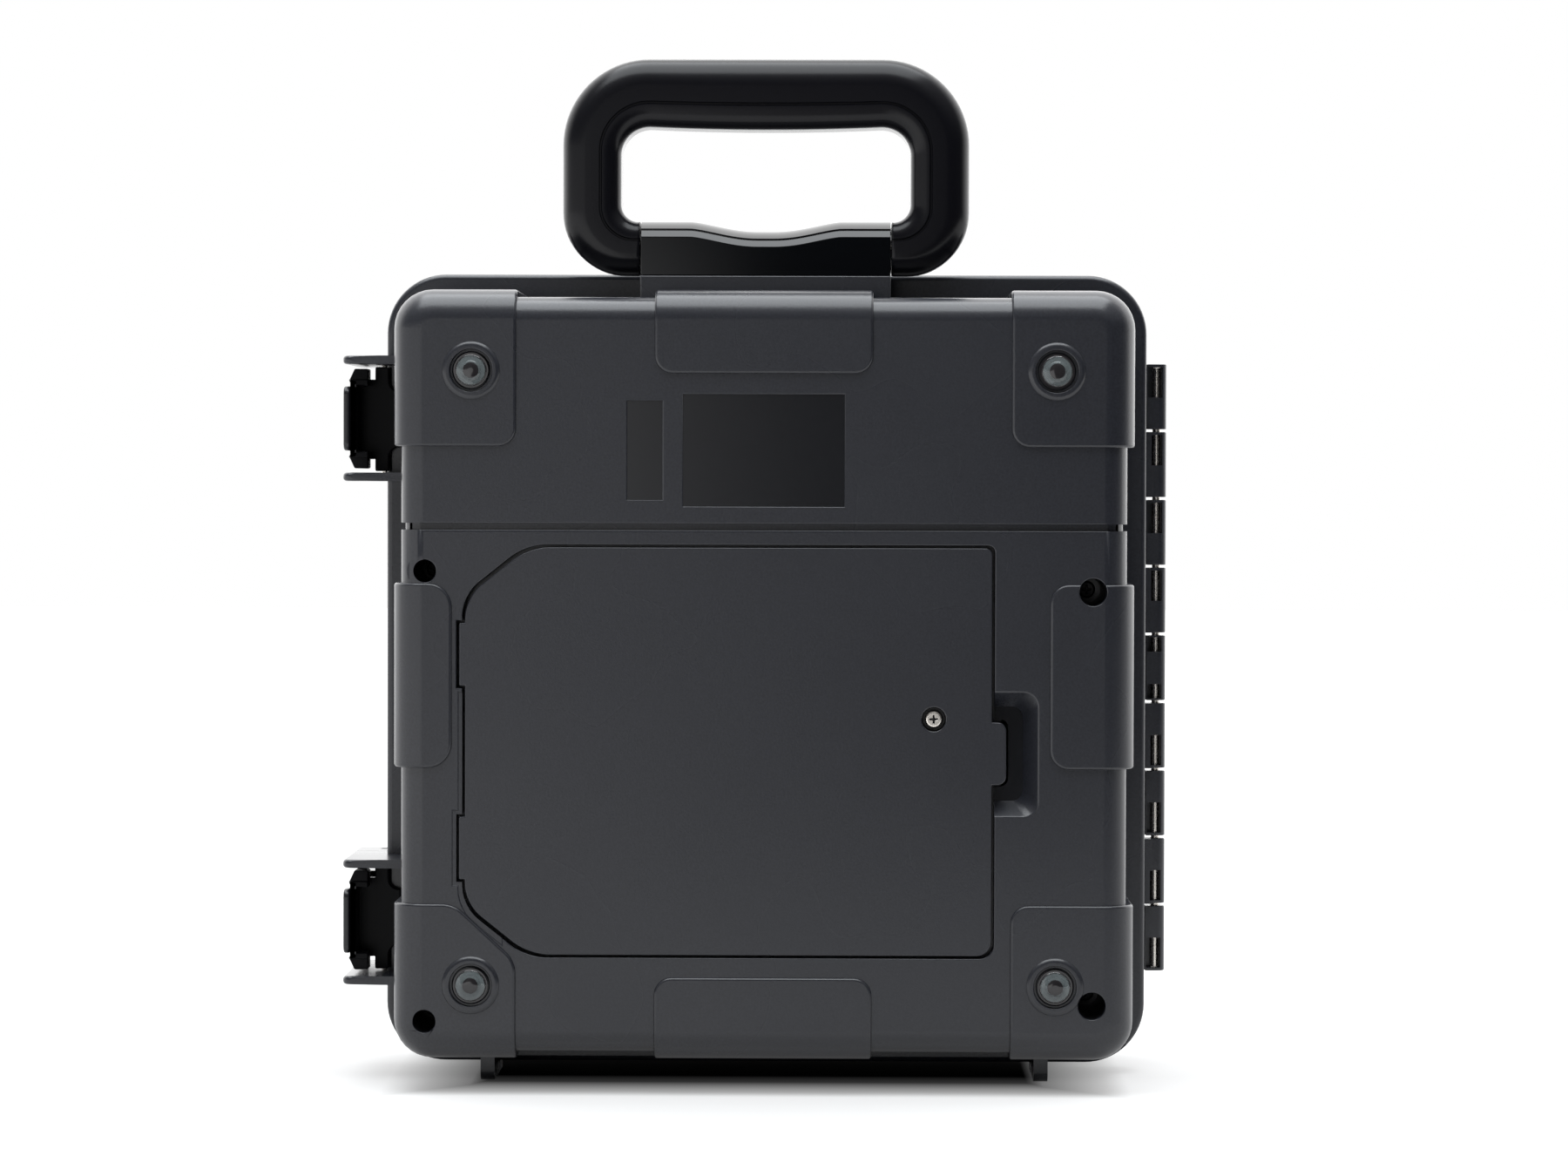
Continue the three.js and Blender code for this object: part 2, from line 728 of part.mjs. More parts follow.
function addCompartment(shell) {
  const z = midZ - coverScrewDown;
  const tub = slab(coverOutline(wall), faceRecess + wall / 2, roomBackY + compartmentWall);
  const room = slab(coverOutline(-coverLedge), faceRecess - overrun, roomBackY);
  const rebateY = coverBackY + gap;
  const rebate = joinAll(slab(coverOutline(coverGap), faceRecess - overrun, rebateY),
    ...coverTabs(coverGap, faceRecess - overrun, rebateY));
  const bossFrontY = coverSeatY + wall / 2 + gap;
  const boss = rodAlongY(coverScrewX, z, bossRadius, bossFrontY, roomBackY + compartmentWall / 2);
  const bossHole = rodAlongY(coverScrewX, z, screwRadius + screwClearance, bossFrontY - overrun,
    bossFrontY + coverScrewLength, smallSteps);
  const pocketBack = slab(rectangle(coverRightX - wall, coverRightX + pocketWidth + pocketWall,
    midZ - fingerTabDown - pocketHeight / 2 - pocketWall,
    midZ - fingerTabDown + pocketHeight / 2 + pocketWall, pocketRadius),
  faceRecess + wall / 2, faceRecess + pocketDepth + pocketWall);
  const cut = cutAll(joinAll(shell, tub, pocketBack), room, rebate, fingerPocket(),
    fingerTab(coverGap, faceRecess - overrun, rebateY));
  return cutAll(cut.add(boss), bossHole);
}

// Base shell

function sealChannel(front, back) {
  const outer = slab(centred(rimWidth - 2 * rimSkirt, rimHeight - 2 * rimSkirt, rimRadius - rimSkirt),
    front, back);
  const inner = slab(centred(bodyWidth, bodyHeight, bodyRadius), front - overrun, back + overrun);
  return outer.subtract(inner);
}

function grooveBand() {
  const z = midZ + grooveAbove;
  const half = grooveWidth / 2;
  const band = block(-padWidth, padWidth, -overrun, rimFrontY, z - half, z + half);
  const kept = shellBody(bodyWidth - 2 * grooveDepth, bodyHeight, bodyRadius, bodyRadius - sideRecess,
    faceRecess + grooveDepth, rimFrontY + overrun);
  return band.subtract(kept);
}

function labelRecess(x, width, height) {
  const z = midZ + labelUp;
  return slab(rectangle(x - width / 2, x + width / 2, z - height / 2, z + height / 2, labelRadius),
    faceRecess - overrun, faceRecess + labelDepth);
}

function baseStand() {
  const top = midZ - bodyHeight / 2 + 2 * wall;
  const shape = outlineOf([[finFront, 0, standRadius], [baseRimY, 0], [baseRimY, top], [finFront, top]]);
  const x = padWidth / 2 - standIn;
  return [-x, x].map((middle) => slice(shape, middle - standThickness / 2, middle + standThickness / 2));
}

function baseShell() {
  const fins = guardFins(finFront, baseRimY, finRadius, 0);
  const boss = block(-bracketWidth / 2, bracketWidth / 2, handleMiddle - bossReach, rimFrontY + rimSkirt,
    bodyTopZ - wall / 2, bossTopZ);
  let shell = joinAll(caseBody(0, baseRimY), rimRing(rimFrontY, baseRimY), ...fins, ...baseStand(), boss);
  for (const { x, z, radius } of wells()) {
    shell = shell.add(rodAlongY(x, z, radius + wellWall, faceRecess + wall / 2, wellDepth + wellFloor));
  }
  for (const [x, z] of feet()) {
    shell = shell.add(rodAlongY(x, z, footBossRadius, -footBossStand, wall));
  }
  const room = cutAll(hollow(faceRecess + wall, baseRimY + overrun),
    ...wells().map(({ x, z, radius }) => rodAlongY(x, z, radius + wellWall, -overrun,
      wellDepth + wellFloor)),
    ...feet().map(([x, z]) => rodAlongY(x, z, footRadius + wellWall, -overrun,
      footSocketDepth + wellWall)));
  shell = cutAll(shell, room, sealChannel(rimFrontY + rimSkirt, baseRimY + overrun), grooveBand(),
    labelRecess(0, labelWidth, labelHeight), labelRecess(-smallLabelX, smallLabelWidth, smallLabelHeight));
  for (const { x, z, radius } of wells()) {
    shell = cutAll(shell, rodAlongY(x, z, radius, -overrun, wellDepth),
      rodAlongY(x, z, screwRadius + screwClearance, wellDepth - overrun,
        wellDepth + wellFloor + overrun, smallSteps));
  }
  for (const [x, z] of feet()) {
    shell = shell.subtract(rodAlongY(x, z, footRadius + gap, -footBossStand - overrun, footSocketDepth));
  }
  shell = addCompartment(shell);
  return addKnuckles(shell, 1, baseRimY - knuckleWeb, baseRimY);
}

// Lid shell

function lidShell() {
  const fins = guardFins(lidRimY, lidRimY + lidFinLength, 0, finRadius);
  const tongueSide = (rimSkirt + (rimWidth - bodyWidth) / 2) / 2;
  const tongueOuter = centred(rimWidth - 2 * tongueSide + tongueWidth,
    rimHeight - 2 * tongueSide + tongueWidth, rimRadius - tongueSide + tongueWidth / 2);
  const tongueInner = centred(rimWidth - 2 * tongueSide - tongueWidth,
    rimHeight - 2 * tongueSide - tongueWidth, rimRadius - tongueSide - tongueWidth / 2);
  const tongue = slab(tongueOuter, partingY - tongueDepth, lidRimY + wall)
    .subtract(slab(tongueInner, partingY - tongueDepth - overrun, lidRimY + wall + overrun));
  let shell = joinAll(caseBody(lidBackY, lidRimY), rimRing(lidRimY, lidRimBackY), ...fins);
  shell = cutAll(shell, hollow(lidRimY - overrun, lidBackY - faceRecess - wall));
  shell = shell.add(tongue);
  const holes = latchHeights().map((z) => rodAlongZ(latchPinX, latchPinY, latchPinRadius + gap,
    z - finInnerGap / 2 - finThickness - overrun, z + finInnerGap / 2 + finThickness + overrun,
    smallSteps));
  shell = cutAll(shell, ...holes);
  return addKnuckles(shell, 0, lidRimY, lidRimY + knuckleWeb);
}

// The seal lies in the base's channel, under the lid's tongue
function lidSeal() {
  const side = (rimSkirt + (rimWidth - bodyWidth) / 2) / 2;
  const front = rimFrontY + rimSkirt + gap;
  const back = partingY - tongueDepth - gap;
  const outer = centred(rimWidth - 2 * side + sealWidth, rimHeight - 2 * side + sealWidth,
    rimRadius - side + sealWidth / 2);
  const inner = centred(rimWidth - 2 * side - sealWidth, rimHeight - 2 * side - sealWidth,
    rimRadius - side - sealWidth / 2);
  return slab(outer, front, back).subtract(slab(inner, front - overrun, back + overrun));
}

// Clear foot: a plug in its socket with a domed face

function rubberFoot(x, z) {
  const back = footSocketDepth - gap;
  const brim = -footBossStand;
  const profile = [[0, back], [footRadius, back], [footRadius, brim]];
  for (let step = 1; step < arcSteps; step += 1) {
    const angle = step / arcSteps * Math.PI / 2;
    const rise = (footStand - footBossStand) * Math.sin(angle);
    profile.push([footRadius * Math.cos(angle), brim - rise]);
  }
  profile.push([0, -footStand]);
  return turnedAlongY(profile.reverse(), x, z);
}

// Battery holder, cells and contacts

const cellPitch = 2 * cellRadius + cellGap;
const cellBay = cellLength + 2 * contactGap;
const holderLeft = roomLeft + holderFromLeft;
const holderRoom = coverScrewX - bossRadius - gap - holderWall - holderLeft;
const cellColumns = Math.floor((holderRoom + holderWall) / (cellBay + holderWall));
const holderInnerWidth = cellColumns * cellBay + (cellColumns - 1) * holderWall;
const holderInnerHeight = cellRows * cellPitch + cellGap;
const holderTop = midZ - holderDown + holderInnerHeight / 2;
const holderBackY = roomBackY - gap;
const cellY = holderBackY - holderFloor - gap - cellRadius;

function batteryHolder() {
  const bottom = holderTop - holderInnerHeight;
  const whole = block(holderLeft - holderWall, holderLeft + holderInnerWidth + holderWall,
    cellY - cellGrip, holderBackY, bottom - holderWall, holderTop + holderWall);
  const bays = [];
  for (let column = 0; column < cellColumns; column += 1) {
    const left = holderLeft + column * (cellBay + holderWall);
    bays.push(block(left, left + cellBay, -overrun, holderBackY - holderFloor, bottom, holderTop));
  }
  return cutAll(whole, ...bays);
}

function batteryCell(row, column) {
  const left = holderLeft + column * (cellBay + holderWall) + contactGap;
  const z = holderTop - cellGap - cellRadius - row * cellPitch;
  const flip = row % 2 ? -1 : 1;
  const middle = left + cellLength / 2;
  const body = rodAlongX(cellY, z, cellRadius, left + (flip < 0 ? cellNub : 0),
    left + cellLength - (flip > 0 ? cellNub : 0));
  const nubEnd = middle + flip * cellLength / 2;
  const nub = rodAlongX(cellY, z, cellNubRadius, Math.min(middle, nubEnd), Math.max(middle, nubEnd),
    smallSteps);
  return body.add(nub);
}

function contactStrip(column, end) {
  const left = holderLeft + column * (cellBay + holderWall);
  const wallX = end < 0 ? left + gap : left + cellBay - gap - contactThickness;
  const z = holderTop - holderInnerHeight / 2;
  const plate = block(wallX, wallX + contactThickness, cellY - cellGrip,
    holderBackY - holderFloor - gap, z - holderInnerHeight / 2 + cellGap,
    z + holderInnerHeight / 2 - cellGap);
  const reach = contactGap - contactThickness - 2 * gap;
  const springs = [];
  for (let row = 0; row < cellRows; row += 1) {
    const cellZ = holderTop - cellGap - cellRadius - row * cellPitch;
    const from = end < 0 ? wallX : wallX + contactThickness - reach - contactThickness;
    springs.push(rodAlongX(cellY, cellZ, cellNubRadius, from, from + reach + contactThickness, smallSteps));
  }
  return joinAll(plate, ...springs);
}

// Handle loop, open at the bottom where the bracket stands

function handleLoop() {
  const out = handleWidth / 2;
  const inside = handleOpeningWidth / 2;
  const end = bracketWidth / 2 + gap;
  const far = end - handleRound - overrun;
  const [low, high] = [handleOpeningBottomZ, handleOpeningTopZ];
  const shape = outlineOf([[far, handleBottomZ], [out, handleBottomZ, handleBottomRadius],
    [out, handleTopZ, handleTopRadius], [-out, handleTopZ, handleTopRadius],
    [-out, handleBottomZ, handleBottomRadius], [-far, handleBottomZ], [-far, low],
    [-inside, low, handleFootRadius], [-inside, high, handleOpeningRadius],
    [inside, high, handleOpeningRadius], [inside, low, handleFootRadius], [far, low]]);
  const front = handleMiddle - handleThickness / 2;
  const loop = slab(shape, front, front + handleThickness, handleRound);
  const room = block(-end, end, front - overrun, front + handleThickness + overrun,
    handleBottomZ - overrun, handleOpeningBottomZ + handleRound);
  const reach = end + handlePivotReach + gap;
  const bore = rodAlongX(handleMiddle, handlePivotZ, handlePivotRadius + gap, -reach, reach, smallSteps);
  return cutAll(loop, room, bore);
}

function handleBracket() {
  const half = bracketWidth / 2;
  const dip = bracketDipWidth / 2;
  const low = bracketTopZ - bracketDip;
  const bottom = bossTopZ + gap;
  const shape = outlineOf([[-half, bottom], [half, bottom], [half, bracketTopZ],
    [dip, bracketTopZ, bracketDip], [dip - bracketDipRun, low, bracketDip],
    [bracketDipRun - dip, low, bracketDip], [-dip, bracketTopZ, bracketDip], [-half, bracketTopZ]]);
  const front = handleMiddle - bracketThickness / 2;
  const body = slab(shape, front, front + bracketThickness, bracketEdge);
  const bore = rodAlongX(handleMiddle, handlePivotZ, handlePivotRadius + gap, -half - overrun,
    half + overrun, smallSteps);
  return body.subtract(bore);
}

function handlePin() {
  const reach = bracketWidth / 2 + handlePivotReach;
  return rodAlongX(handleMiddle, handlePivotZ, handlePivotRadius, -reach, reach, smallSteps);
}

// Instrument panel, its controls and what lies behind it

const panelRows = [displayHeight + 2 * displayLedge, keyHeight + 2 * keyTravel, 2 * knobRadius,
  2 * terminalRadius];
const panelSpace = hollowHeight - panelRows.reduce((sum, height) => sum + height, 0);

// The middle height of a row of the panel
function rowZ(row) {
  const above = panelRows.slice(0, row).reduce((sum, height) => sum + height, 0);
  const spaces = panelSpaceShares.slice(0, row + 1).reduce((sum, share) => sum + share, 0);
  return midZ + hollowHeight / 2 - above - spaces * panelSpace - panelRows[row] / 2;
}

const [displayZ, keyZ, knobZ, terminalZ] = panelRows.map((height, row) => rowZ(row));
const boardLeft = boardSideIn - hollowWidth / 2;
const boardTop = midZ + hollowHeight / 2 - boardTopIn;

function keyPlaces() {
  return Array.from({ length: keyCount }, (_, i) => (i - (keyCount - 1) / 2) * keyPitch);
}

function terminalPlaces() {
  return Array.from({ length: terminalCount }, (_, i) => (i - (terminalCount - 1) / 2) * terminalPitch);
}

function boardPosts() {
  const x = boardLeft + boardPostIn;
  return [x, -x].flatMap((across) => [boardTop - boardPostIn, boardTop - boardHeight + boardPostIn]
    .map((z) => [across, z]));
}

function displayOutline(grow) {
  return rectangle(-displayWidth / 2 - grow, displayWidth / 2 + grow, displayZ - displayHeight / 2 - grow,
    displayZ + displayHeight / 2 + grow, displayRadius);
}

function keyOutline(x, grow) {
  return rectangle(x - keyWidth / 2 - grow, x + keyWidth / 2 + grow, keyZ - keyHeight / 2 - grow,
    keyZ + keyHeight / 2 + grow, keyRadius);
}

function frontPanel() {
  let panel = slab(centred(hollowWidth - 2 * panelFit, hollowHeight - 2 * panelFit, hollowRadius),
    panelY, panelTopY);
  for (const { x, z } of wells()) {
    panel = panel.add(rodAlongY(x, z, panelBossRadius, wellDepth + wellFloor + gap,
      panelY + panelThickness / 2));
  }
  for (const [x, z] of boardPosts()) {
    panel = panel.add(rodAlongY(x, z, boardPostRadius, boardY + boardThickness + gap, panelY
      + panelThickness / 2, smallSteps));
  }
  const cuts = [slab(displayOutline(0), panelY - overrun, panelTopY + overrun),
    slab(displayOutline(displayLedge + gap), panelTopY - windowThickness - gap, panelTopY + overrun),
    rodAlongY(knobX, knobZ, shaftRadius + gap, panelY - overrun, panelTopY + overrun),
    rodAlongY(buttonX, knobZ, buttonRadius + gap, panelY - overrun, panelTopY + overrun)];
  for (const x of keyPlaces()) cuts.push(slab(keyOutline(x, gap), panelY - overrun, panelTopY + overrun));
  for (const x of terminalPlaces()) {
    cuts.push(rodAlongY(x, terminalZ, terminalNeck + gap, panelY - overrun, panelTopY + overrun));
  }
  for (const { x, z } of wells()) {
    cuts.push(rodAlongY(x, z, screwRadius + screwClearance, wellDepth, wellDepth + caseScrewLength
      + gap, smallSteps));
  }
  return cutAll(panel, ...cuts);
}

function displayWindow() {
  return slab(displayOutline(displayLedge), panelTopY - windowThickness, panelTopY);
}

function displayModule() {
  const back = panelY - gap;
  return slab(displayOutline(displayLedge), back - displayModuleDepth, back);
}

function mainBoard() {
  return slab(rectangle(boardLeft, -boardLeft, boardTop - boardHeight, boardTop, displayRadius),
    boardY, boardY + boardThickness);
}

// The switch stands on the board, and its shaft comes up through the panel into the knob
function selectorSwitch() {
  const front = boardY + boardThickness + gap;
  const body = rodAlongY(knobX, knobZ, switchRadius, front, front + switchDepth);
  const bore = rodAlongY(knobX, knobZ, shaftRadius + gap, front + switchFloor, front + switchDepth
    + overrun, smallSteps);
  return body.subtract(bore);
}

function selectorShaft() {
  const front = boardY + boardThickness + gap + switchFloor + gap;
  return rodAlongY(knobX, knobZ, shaftRadius, front, panelTopY + shaftStand, smallSteps);
}

function selectorKnob() {
  const front = panelTopY + gap;
  const skirt = rodAlongY(knobX, knobZ, knobRadius, front, front + knobSkirt);
  const grip = slab(rectangle(knobX - knobGripWidth / 2, knobX + knobGripWidth / 2,
    knobZ - knobRadius + gap, knobZ + knobRadius - gap, knobGripRadius), front + knobSkirt / 2,
  front + knobSkirt + knobGripHeight);
  const bore = rodAlongY(knobX, knobZ, shaftRadius + gap, front - overrun, panelTopY + shaftStand
    + gap, smallSteps);
  return cutAll(skirt.add(grip), bore);
}

function testButton() {
  const back = panelTopY + buttonStand;
  const under = panelY - buttonTravel;
  return turnedAlongY([[0, under - buttonFlange], [buttonRadius + buttonFlange, under - buttonFlange],
    [buttonRadius + buttonFlange, panelY - gap], [buttonRadius, panelY - gap], [buttonRadius, back
    - buttonFlange], [buttonRadius - buttonFlange, back], [0, back]], buttonX, knobZ);
}

function panelKey(x) {
  const flange = slab(keyOutline(x, keyTravel), panelY - gap - keyTravel, panelY - gap);
  return flange.add(slab(keyOutline(x, 0), panelY - gap - keyTravel / 2, panelTopY + keyStand));
}

function terminal(x) {
  const flangeY = panelTopY + gap;
  const body = turnedAlongY([[0, panelY - terminalTail], [terminalNeck, panelY - terminalTail],
    [terminalNeck, flangeY], [terminalRadius, flangeY], [terminalRadius, flangeY + terminalStand],
    [0, flangeY + terminalStand]], x, terminalZ);
  return body.subtract(rodAlongY(x, terminalZ, terminalBore, panelY - terminalTail / 2,
    flangeY + terminalStand + overrun, smallSteps));
}

// Finishes and the assembly

const finishes = {
  charcoal: { color: 0x3f4145, roughness: 0.55, metalness: 0 },
  softBlack: { color: 0x18191b, roughness: 0.6, metalness: 0 },
  glossBlack: { color: 0x0e0f12, roughness: 0.2, metalness: 0 },
  black: { color: 0x121316, roughness: 0.45, metalness: 0 },
  steel: { color: 0xb9b7b2, roughness: 0.3, metalness: 1 },
  clear: { color: 0xdfe6e8, roughness: 0.1, metalness: 0 },
  rubber: { color: 0x1c1c1e, roughness: 0.8, metalness: 0 },
  panelGrey: { color: 0xb4b6b3, roughness: 0.5, metalness: 0 },
  board: { color: 0x1f5a38, roughness: 0.5, metalness: 0 },
  display: { color: 0x8f9a86, roughness: 0.3, metalness: 0 },
  red: { color: 0xb3261e, roughness: 0.4, metalness: 0 },
  cell: { color: 0x6d7478, roughness: 0.35, metalness: 0 },
};

const model = new THREE.Group();

function place(name, finish, solid) {
  const mesh = new THREE.Mesh(geometryOf(solid), new THREE.MeshStandardMaterial(finishes[finish]));
  mesh.name = name;
  model.add(mesh);
}

place('base_shell', 'charcoal', baseShell());
place('lid_shell', 'charcoal', lidShell());
place('lid_gasket', 'rubber', lidSeal());
place('hinge_pin', 'steel', hingePin());
place('battery_cover', 'charcoal', batteryCover());
place('battery_cover_screw', 'steel', screwAlongY(coverScrewX, midZ - coverScrewDown,
  coverSeatY - gap, coverScrewLength));
place('battery_holder', 'black', batteryHolder());
for (let column = 0; column < cellColumns; column += 1) {
  for (let row = 0; row < cellRows; row += 1) {
    place(`battery_cell_${column * cellRows + row + 1}`, 'cell', batteryCell(row, column));
  }
  place(`battery_contact_${2 * column + 1}`, 'steel', contactStrip(column, -1));
  place(`battery_contact_${2 * column + 2}`, 'steel', contactStrip(column, 1));
}
feet().forEach(([x, z], i) => place(`rubber_foot_${i + 1}`, 'clear', rubberFoot(x, z)));
wells().forEach(({ x, z }, i) => {
  place(`case_screw_${i + 1}`, 'steel', screwAlongY(x, z, wellDepth - gap, caseScrewLength));
});
place('handle_loop', 'softBlack', handleLoop());
place('handle_bracket', 'glossBlack', handleBracket());
place('handle_pin', 'steel', handlePin());
latchHeights().forEach((z, i) => {
  const end = i === 0 ? 'upper' : 'lower';
  place(`latch_lever_${end}`, 'black', latchLever(z));
  place(`latch_pin_${end}`, 'steel', latchPin(z));
});
place('front_panel', 'panelGrey', frontPanel());
place('display_window', 'clear', displayWindow());
place('display_module', 'display', displayModule());
place('main_board', 'board', mainBoard());
place('selector_switch', 'black', selectorSwitch());
place('selector_shaft', 'steel', selectorShaft());
place('selector_knob', 'black', selectorKnob());
place('test_button', 'red', testButton());
keyPlaces().forEach((x, i) => place(`panel_key_${i + 1}`, 'black', panelKey(x)));
terminalPlaces().forEach((x, i) => place(`terminal_${i + 1}`, i === 0 ? 'red' : 'black', terminal(x)));

// The origin is at the bottom centre of the whole object
const leftX = -finTip;
const rightX = hingeX + barrelRadius;
model.position.set(-(leftX + rightX) / 2, -(lidBackY - footStand) / 2, 0);

export default model;
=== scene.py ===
# Looks of a hard plastic case with a test instrument in its base.
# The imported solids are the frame. Every piece here is modelled in place over them, in metres.
import json
import math
import bmesh
import bpy
from mathutils import Matrix, Vector


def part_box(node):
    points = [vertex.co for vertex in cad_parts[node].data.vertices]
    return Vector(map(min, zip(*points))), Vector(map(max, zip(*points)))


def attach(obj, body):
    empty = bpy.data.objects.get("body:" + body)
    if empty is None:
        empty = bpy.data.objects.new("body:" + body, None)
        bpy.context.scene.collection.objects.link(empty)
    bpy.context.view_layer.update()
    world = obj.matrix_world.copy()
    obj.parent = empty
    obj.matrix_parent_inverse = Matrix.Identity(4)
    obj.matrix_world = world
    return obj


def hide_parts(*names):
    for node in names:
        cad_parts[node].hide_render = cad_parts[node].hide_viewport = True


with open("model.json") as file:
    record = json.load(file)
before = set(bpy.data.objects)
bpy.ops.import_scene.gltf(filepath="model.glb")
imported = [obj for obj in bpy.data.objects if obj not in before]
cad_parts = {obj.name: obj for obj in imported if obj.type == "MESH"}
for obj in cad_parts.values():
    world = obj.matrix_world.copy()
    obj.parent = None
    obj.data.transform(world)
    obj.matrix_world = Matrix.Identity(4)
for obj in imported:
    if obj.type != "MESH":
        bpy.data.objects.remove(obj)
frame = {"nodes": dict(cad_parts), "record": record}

bl_info = {
    "name": "Test instrument case",
    "version": (1, 0, 0),
    "blender": (4, 5, 0),
    "location": "View3D > Sidebar > Case",
    "description": "Models and finishes the visible pieces of a test instrument case",
    "category": "Object",
}

MM = 0.001
# Points this near to each other are merged, in metres
SAME_SPOT = 2e-6
# A point this near to a line or a plane is on it, in millimetres
NEAR = 0.05
SHARP = math.radians(40)
PANEL_LOW, PANEL_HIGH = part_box("front_panel")
FOOT_STAND = 2.0
# The middle of the case's back, in the plane of the bumper pads
MIDDLE = Vector((
    (PANEL_LOW.x + PANEL_HIGH.x) / 2,
    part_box("rubber_foot_1")[0].y + FOOT_STAND * MM,
    (PANEL_LOW.z + PANEL_HIGH.z) / 2,
))
FLOOR = -MIDDLE.z / MM

# Sizes of the moulded halves in millimetres, as in the solids
BODY = (111.5, 116.0)
PAD = (113.8, 118.3)
RIM = (120.55, 125.05)
HOLLOW = (108.5, 113.0)
BASE_DEPTH = 69.85
LID_FRONT = 70.15
LID_BACK = 119.5
PARTING = 70.0
LATCHES = {"upper": 79.0, "lower": -79.0}
HINGE_X = 124.55
KNUCKLES = 9
KNUCKLE_PITCH = 21.644
KNUCKLE_LENGTH = 20.744
HINGE_LOW = -96.65
WELLS = ((-103.8, 31.9, 3.5), (-103.8, -106.2, 3.5), (100.8, 25.9, 4.2), (100.8, -100.8, 4.2))
FEET = ((-89.5, 93.3), (89.5, 93.3), (-89.5, -95.0), (89.5, -95.0))

# Pads, groove, door, latches and instrument in millimetres
CORNER_PAD = (38, 48.2)
CORNER_CUT = (18.8, 17.4)
END_PAD = (33.4, 25.8)
SIDE_PAD = (-28.4, 28.2)
GROOVE = (44.55, 46.65)
DOOR_CUT = (19.6, 15.6)
DOOR_TABS = (6.4, -53)
FINGER_TAB = (-33.2, -14.0)
DOOR_SCREW = (52.2, -13.1)
STAND_FIN = 86.7
LATCH_PIN = (-123.15, 80.15)
TERMINALS = ((-30, -84.07), (0, -84.07), (30, -84.07))
KNOB = (0, -30.5)
BUTTON = (62, -30.5)

SLOTS = {part["node"]: part["material_slot"] for part in frame["record"]["subparts"]}


# Modelling by hand, in the measures of the case

def place(x, y, z):
    """A point counted in millimetres from the middle of the case's back."""
    return MIDDLE + Vector((x, y, z)) * MM


def spot(point):
    """Where a point of a mesh lies, counted as place() counts."""
    return (Vector(point) - MIDDLE) / MM


def around(middle, half):
    """The two ends of a span, from its middle and half its length."""
    return middle - half, middle + half


def switch_to(mode):
    bpy.ops.object.mode_set(mode=mode)


def take(piece):
    """Leaves edit mode and selects one piece, or none, and nothing else."""
    if bpy.context.object and bpy.context.object.mode != "OBJECT":
        switch_to("OBJECT")
    bpy.ops.object.select_all(action="DESELECT")
    if piece:
        bpy.context.view_layer.objects.active = piece
        piece.select_set(True)
    return piece


def edit_all(piece):
    """Goes into edit mode with all of the piece selected."""
    take(piece)
    switch_to("EDIT")
    bpy.ops.mesh.select_all(action="SELECT")


def edit_none(piece, kind):
    """Goes into edit mode to pick vertices, edges or faces, with nothing selected."""
    take(piece)
    switch_to("EDIT")
    bpy.ops.mesh.select_mode(type=kind)
    bpy.ops.mesh.select_all(action="DESELECT")


def settle(piece):
    """Applies the piece's place, turn and scale, so that it stands at the origin."""
    take(piece)
    bpy.ops.object.transform_apply(location=True, rotation=True, scale=True)
    return piece


def add_block(name, x, y, z):
    take(None)
    low, high = place(x[0], y[0], z[0]), place(x[1], y[1], z[1])
    bpy.ops.mesh.primitive_cube_add(size=1, location=(low + high) / 2, scale=high - low)
    bpy.context.object.name = name
    return settle(bpy.context.object)


def add_rod(name, centre, radius, start, end, axis="Y", sides=48):
    """A rod along one axis; centre gives its place on the other two."""
    take(None)
    middle = (start + end) / 2
    at = {"X": (middle, *centre), "Y": (centre[0], middle, centre[1]), "Z": (*centre, middle)}[axis]
    turn = {"X": (0, math.pi / 2, 0), "Y": (math.pi / 2, 0, 0), "Z": (0, 0, 0)}[axis]
    bpy.ops.mesh.primitive_cylinder_add(vertices=sides, radius=radius * MM, depth=(end - start) * MM,
                                        location=place(*at), rotation=turn)
    bpy.context.object.name = name
    return settle(bpy.context.object)


def copy_of(piece, name):
    copy = bpy.data.objects.new(name, piece.data.copy())
    bpy.context.scene.collection.objects.link(copy)
    return copy


def pick_edges(piece, test):
    """Selects the edges whose two ends pass the test, and leaves the piece in edit mode."""
    edit_none(piece, "EDGE")
    switch_to("OBJECT")
    ends = [spot(vertex.co) for vertex in piece.data.vertices]
    for edge in piece.data.edges:
        edge.select = test(*(ends[i] for i in edge.vertices))
    switch_to("EDIT")


def pick_faces(piece, test):
    """Selects the faces whose middle and normal pass the test, and leaves the piece in edit mode."""
    edit_none(piece, "FACE")
    switch_to("OBJECT")
    for face in piece.data.polygons:
        face.select = test(spot(face.center), face.normal)
    switch_to("EDIT")


def reach_from(centre, at):
    """How far a point lies from a centre on X and Z."""
    return math.hypot(at.x - centre[0], at.z - centre[1])


def round_edges(piece, radius, test, steps=6):
    pick_edges(piece, test)
    bpy.ops.mesh.bevel(offset=radius * MM, segments=steps, affect="EDGES", clamp_overlap=False)
    switch_to("OBJECT")
    return piece


def runs_along(axis, at=None):
    """Picks edges along an axis, or only those at one place on the other two axes."""
    others = [i for i in range(3) if i != axis]

    def test(a, b):
        if any(abs(a[i] - b[i]) > NEAR for i in others):
            return False
        return at is None or all(abs(a[i] - at[n]) < NEAR for n, i in enumerate(others))
    return test


def lies_at(axis, value):
    """Picks edges in one plane across an axis."""
    return lambda a, b: abs(a[axis] - value) < NEAR and abs(b[axis] - value) < NEAR


def near_column(x, z):
    """Picks the edges along Y that stand at one place."""
    return lambda a, b: abs(a.y - b.y) > 1 and all(
        abs(p.x - x) < 0.3 and abs(p.z - z) < 0.3 for p in (a, b))


def everywhere(a, b):
    return True


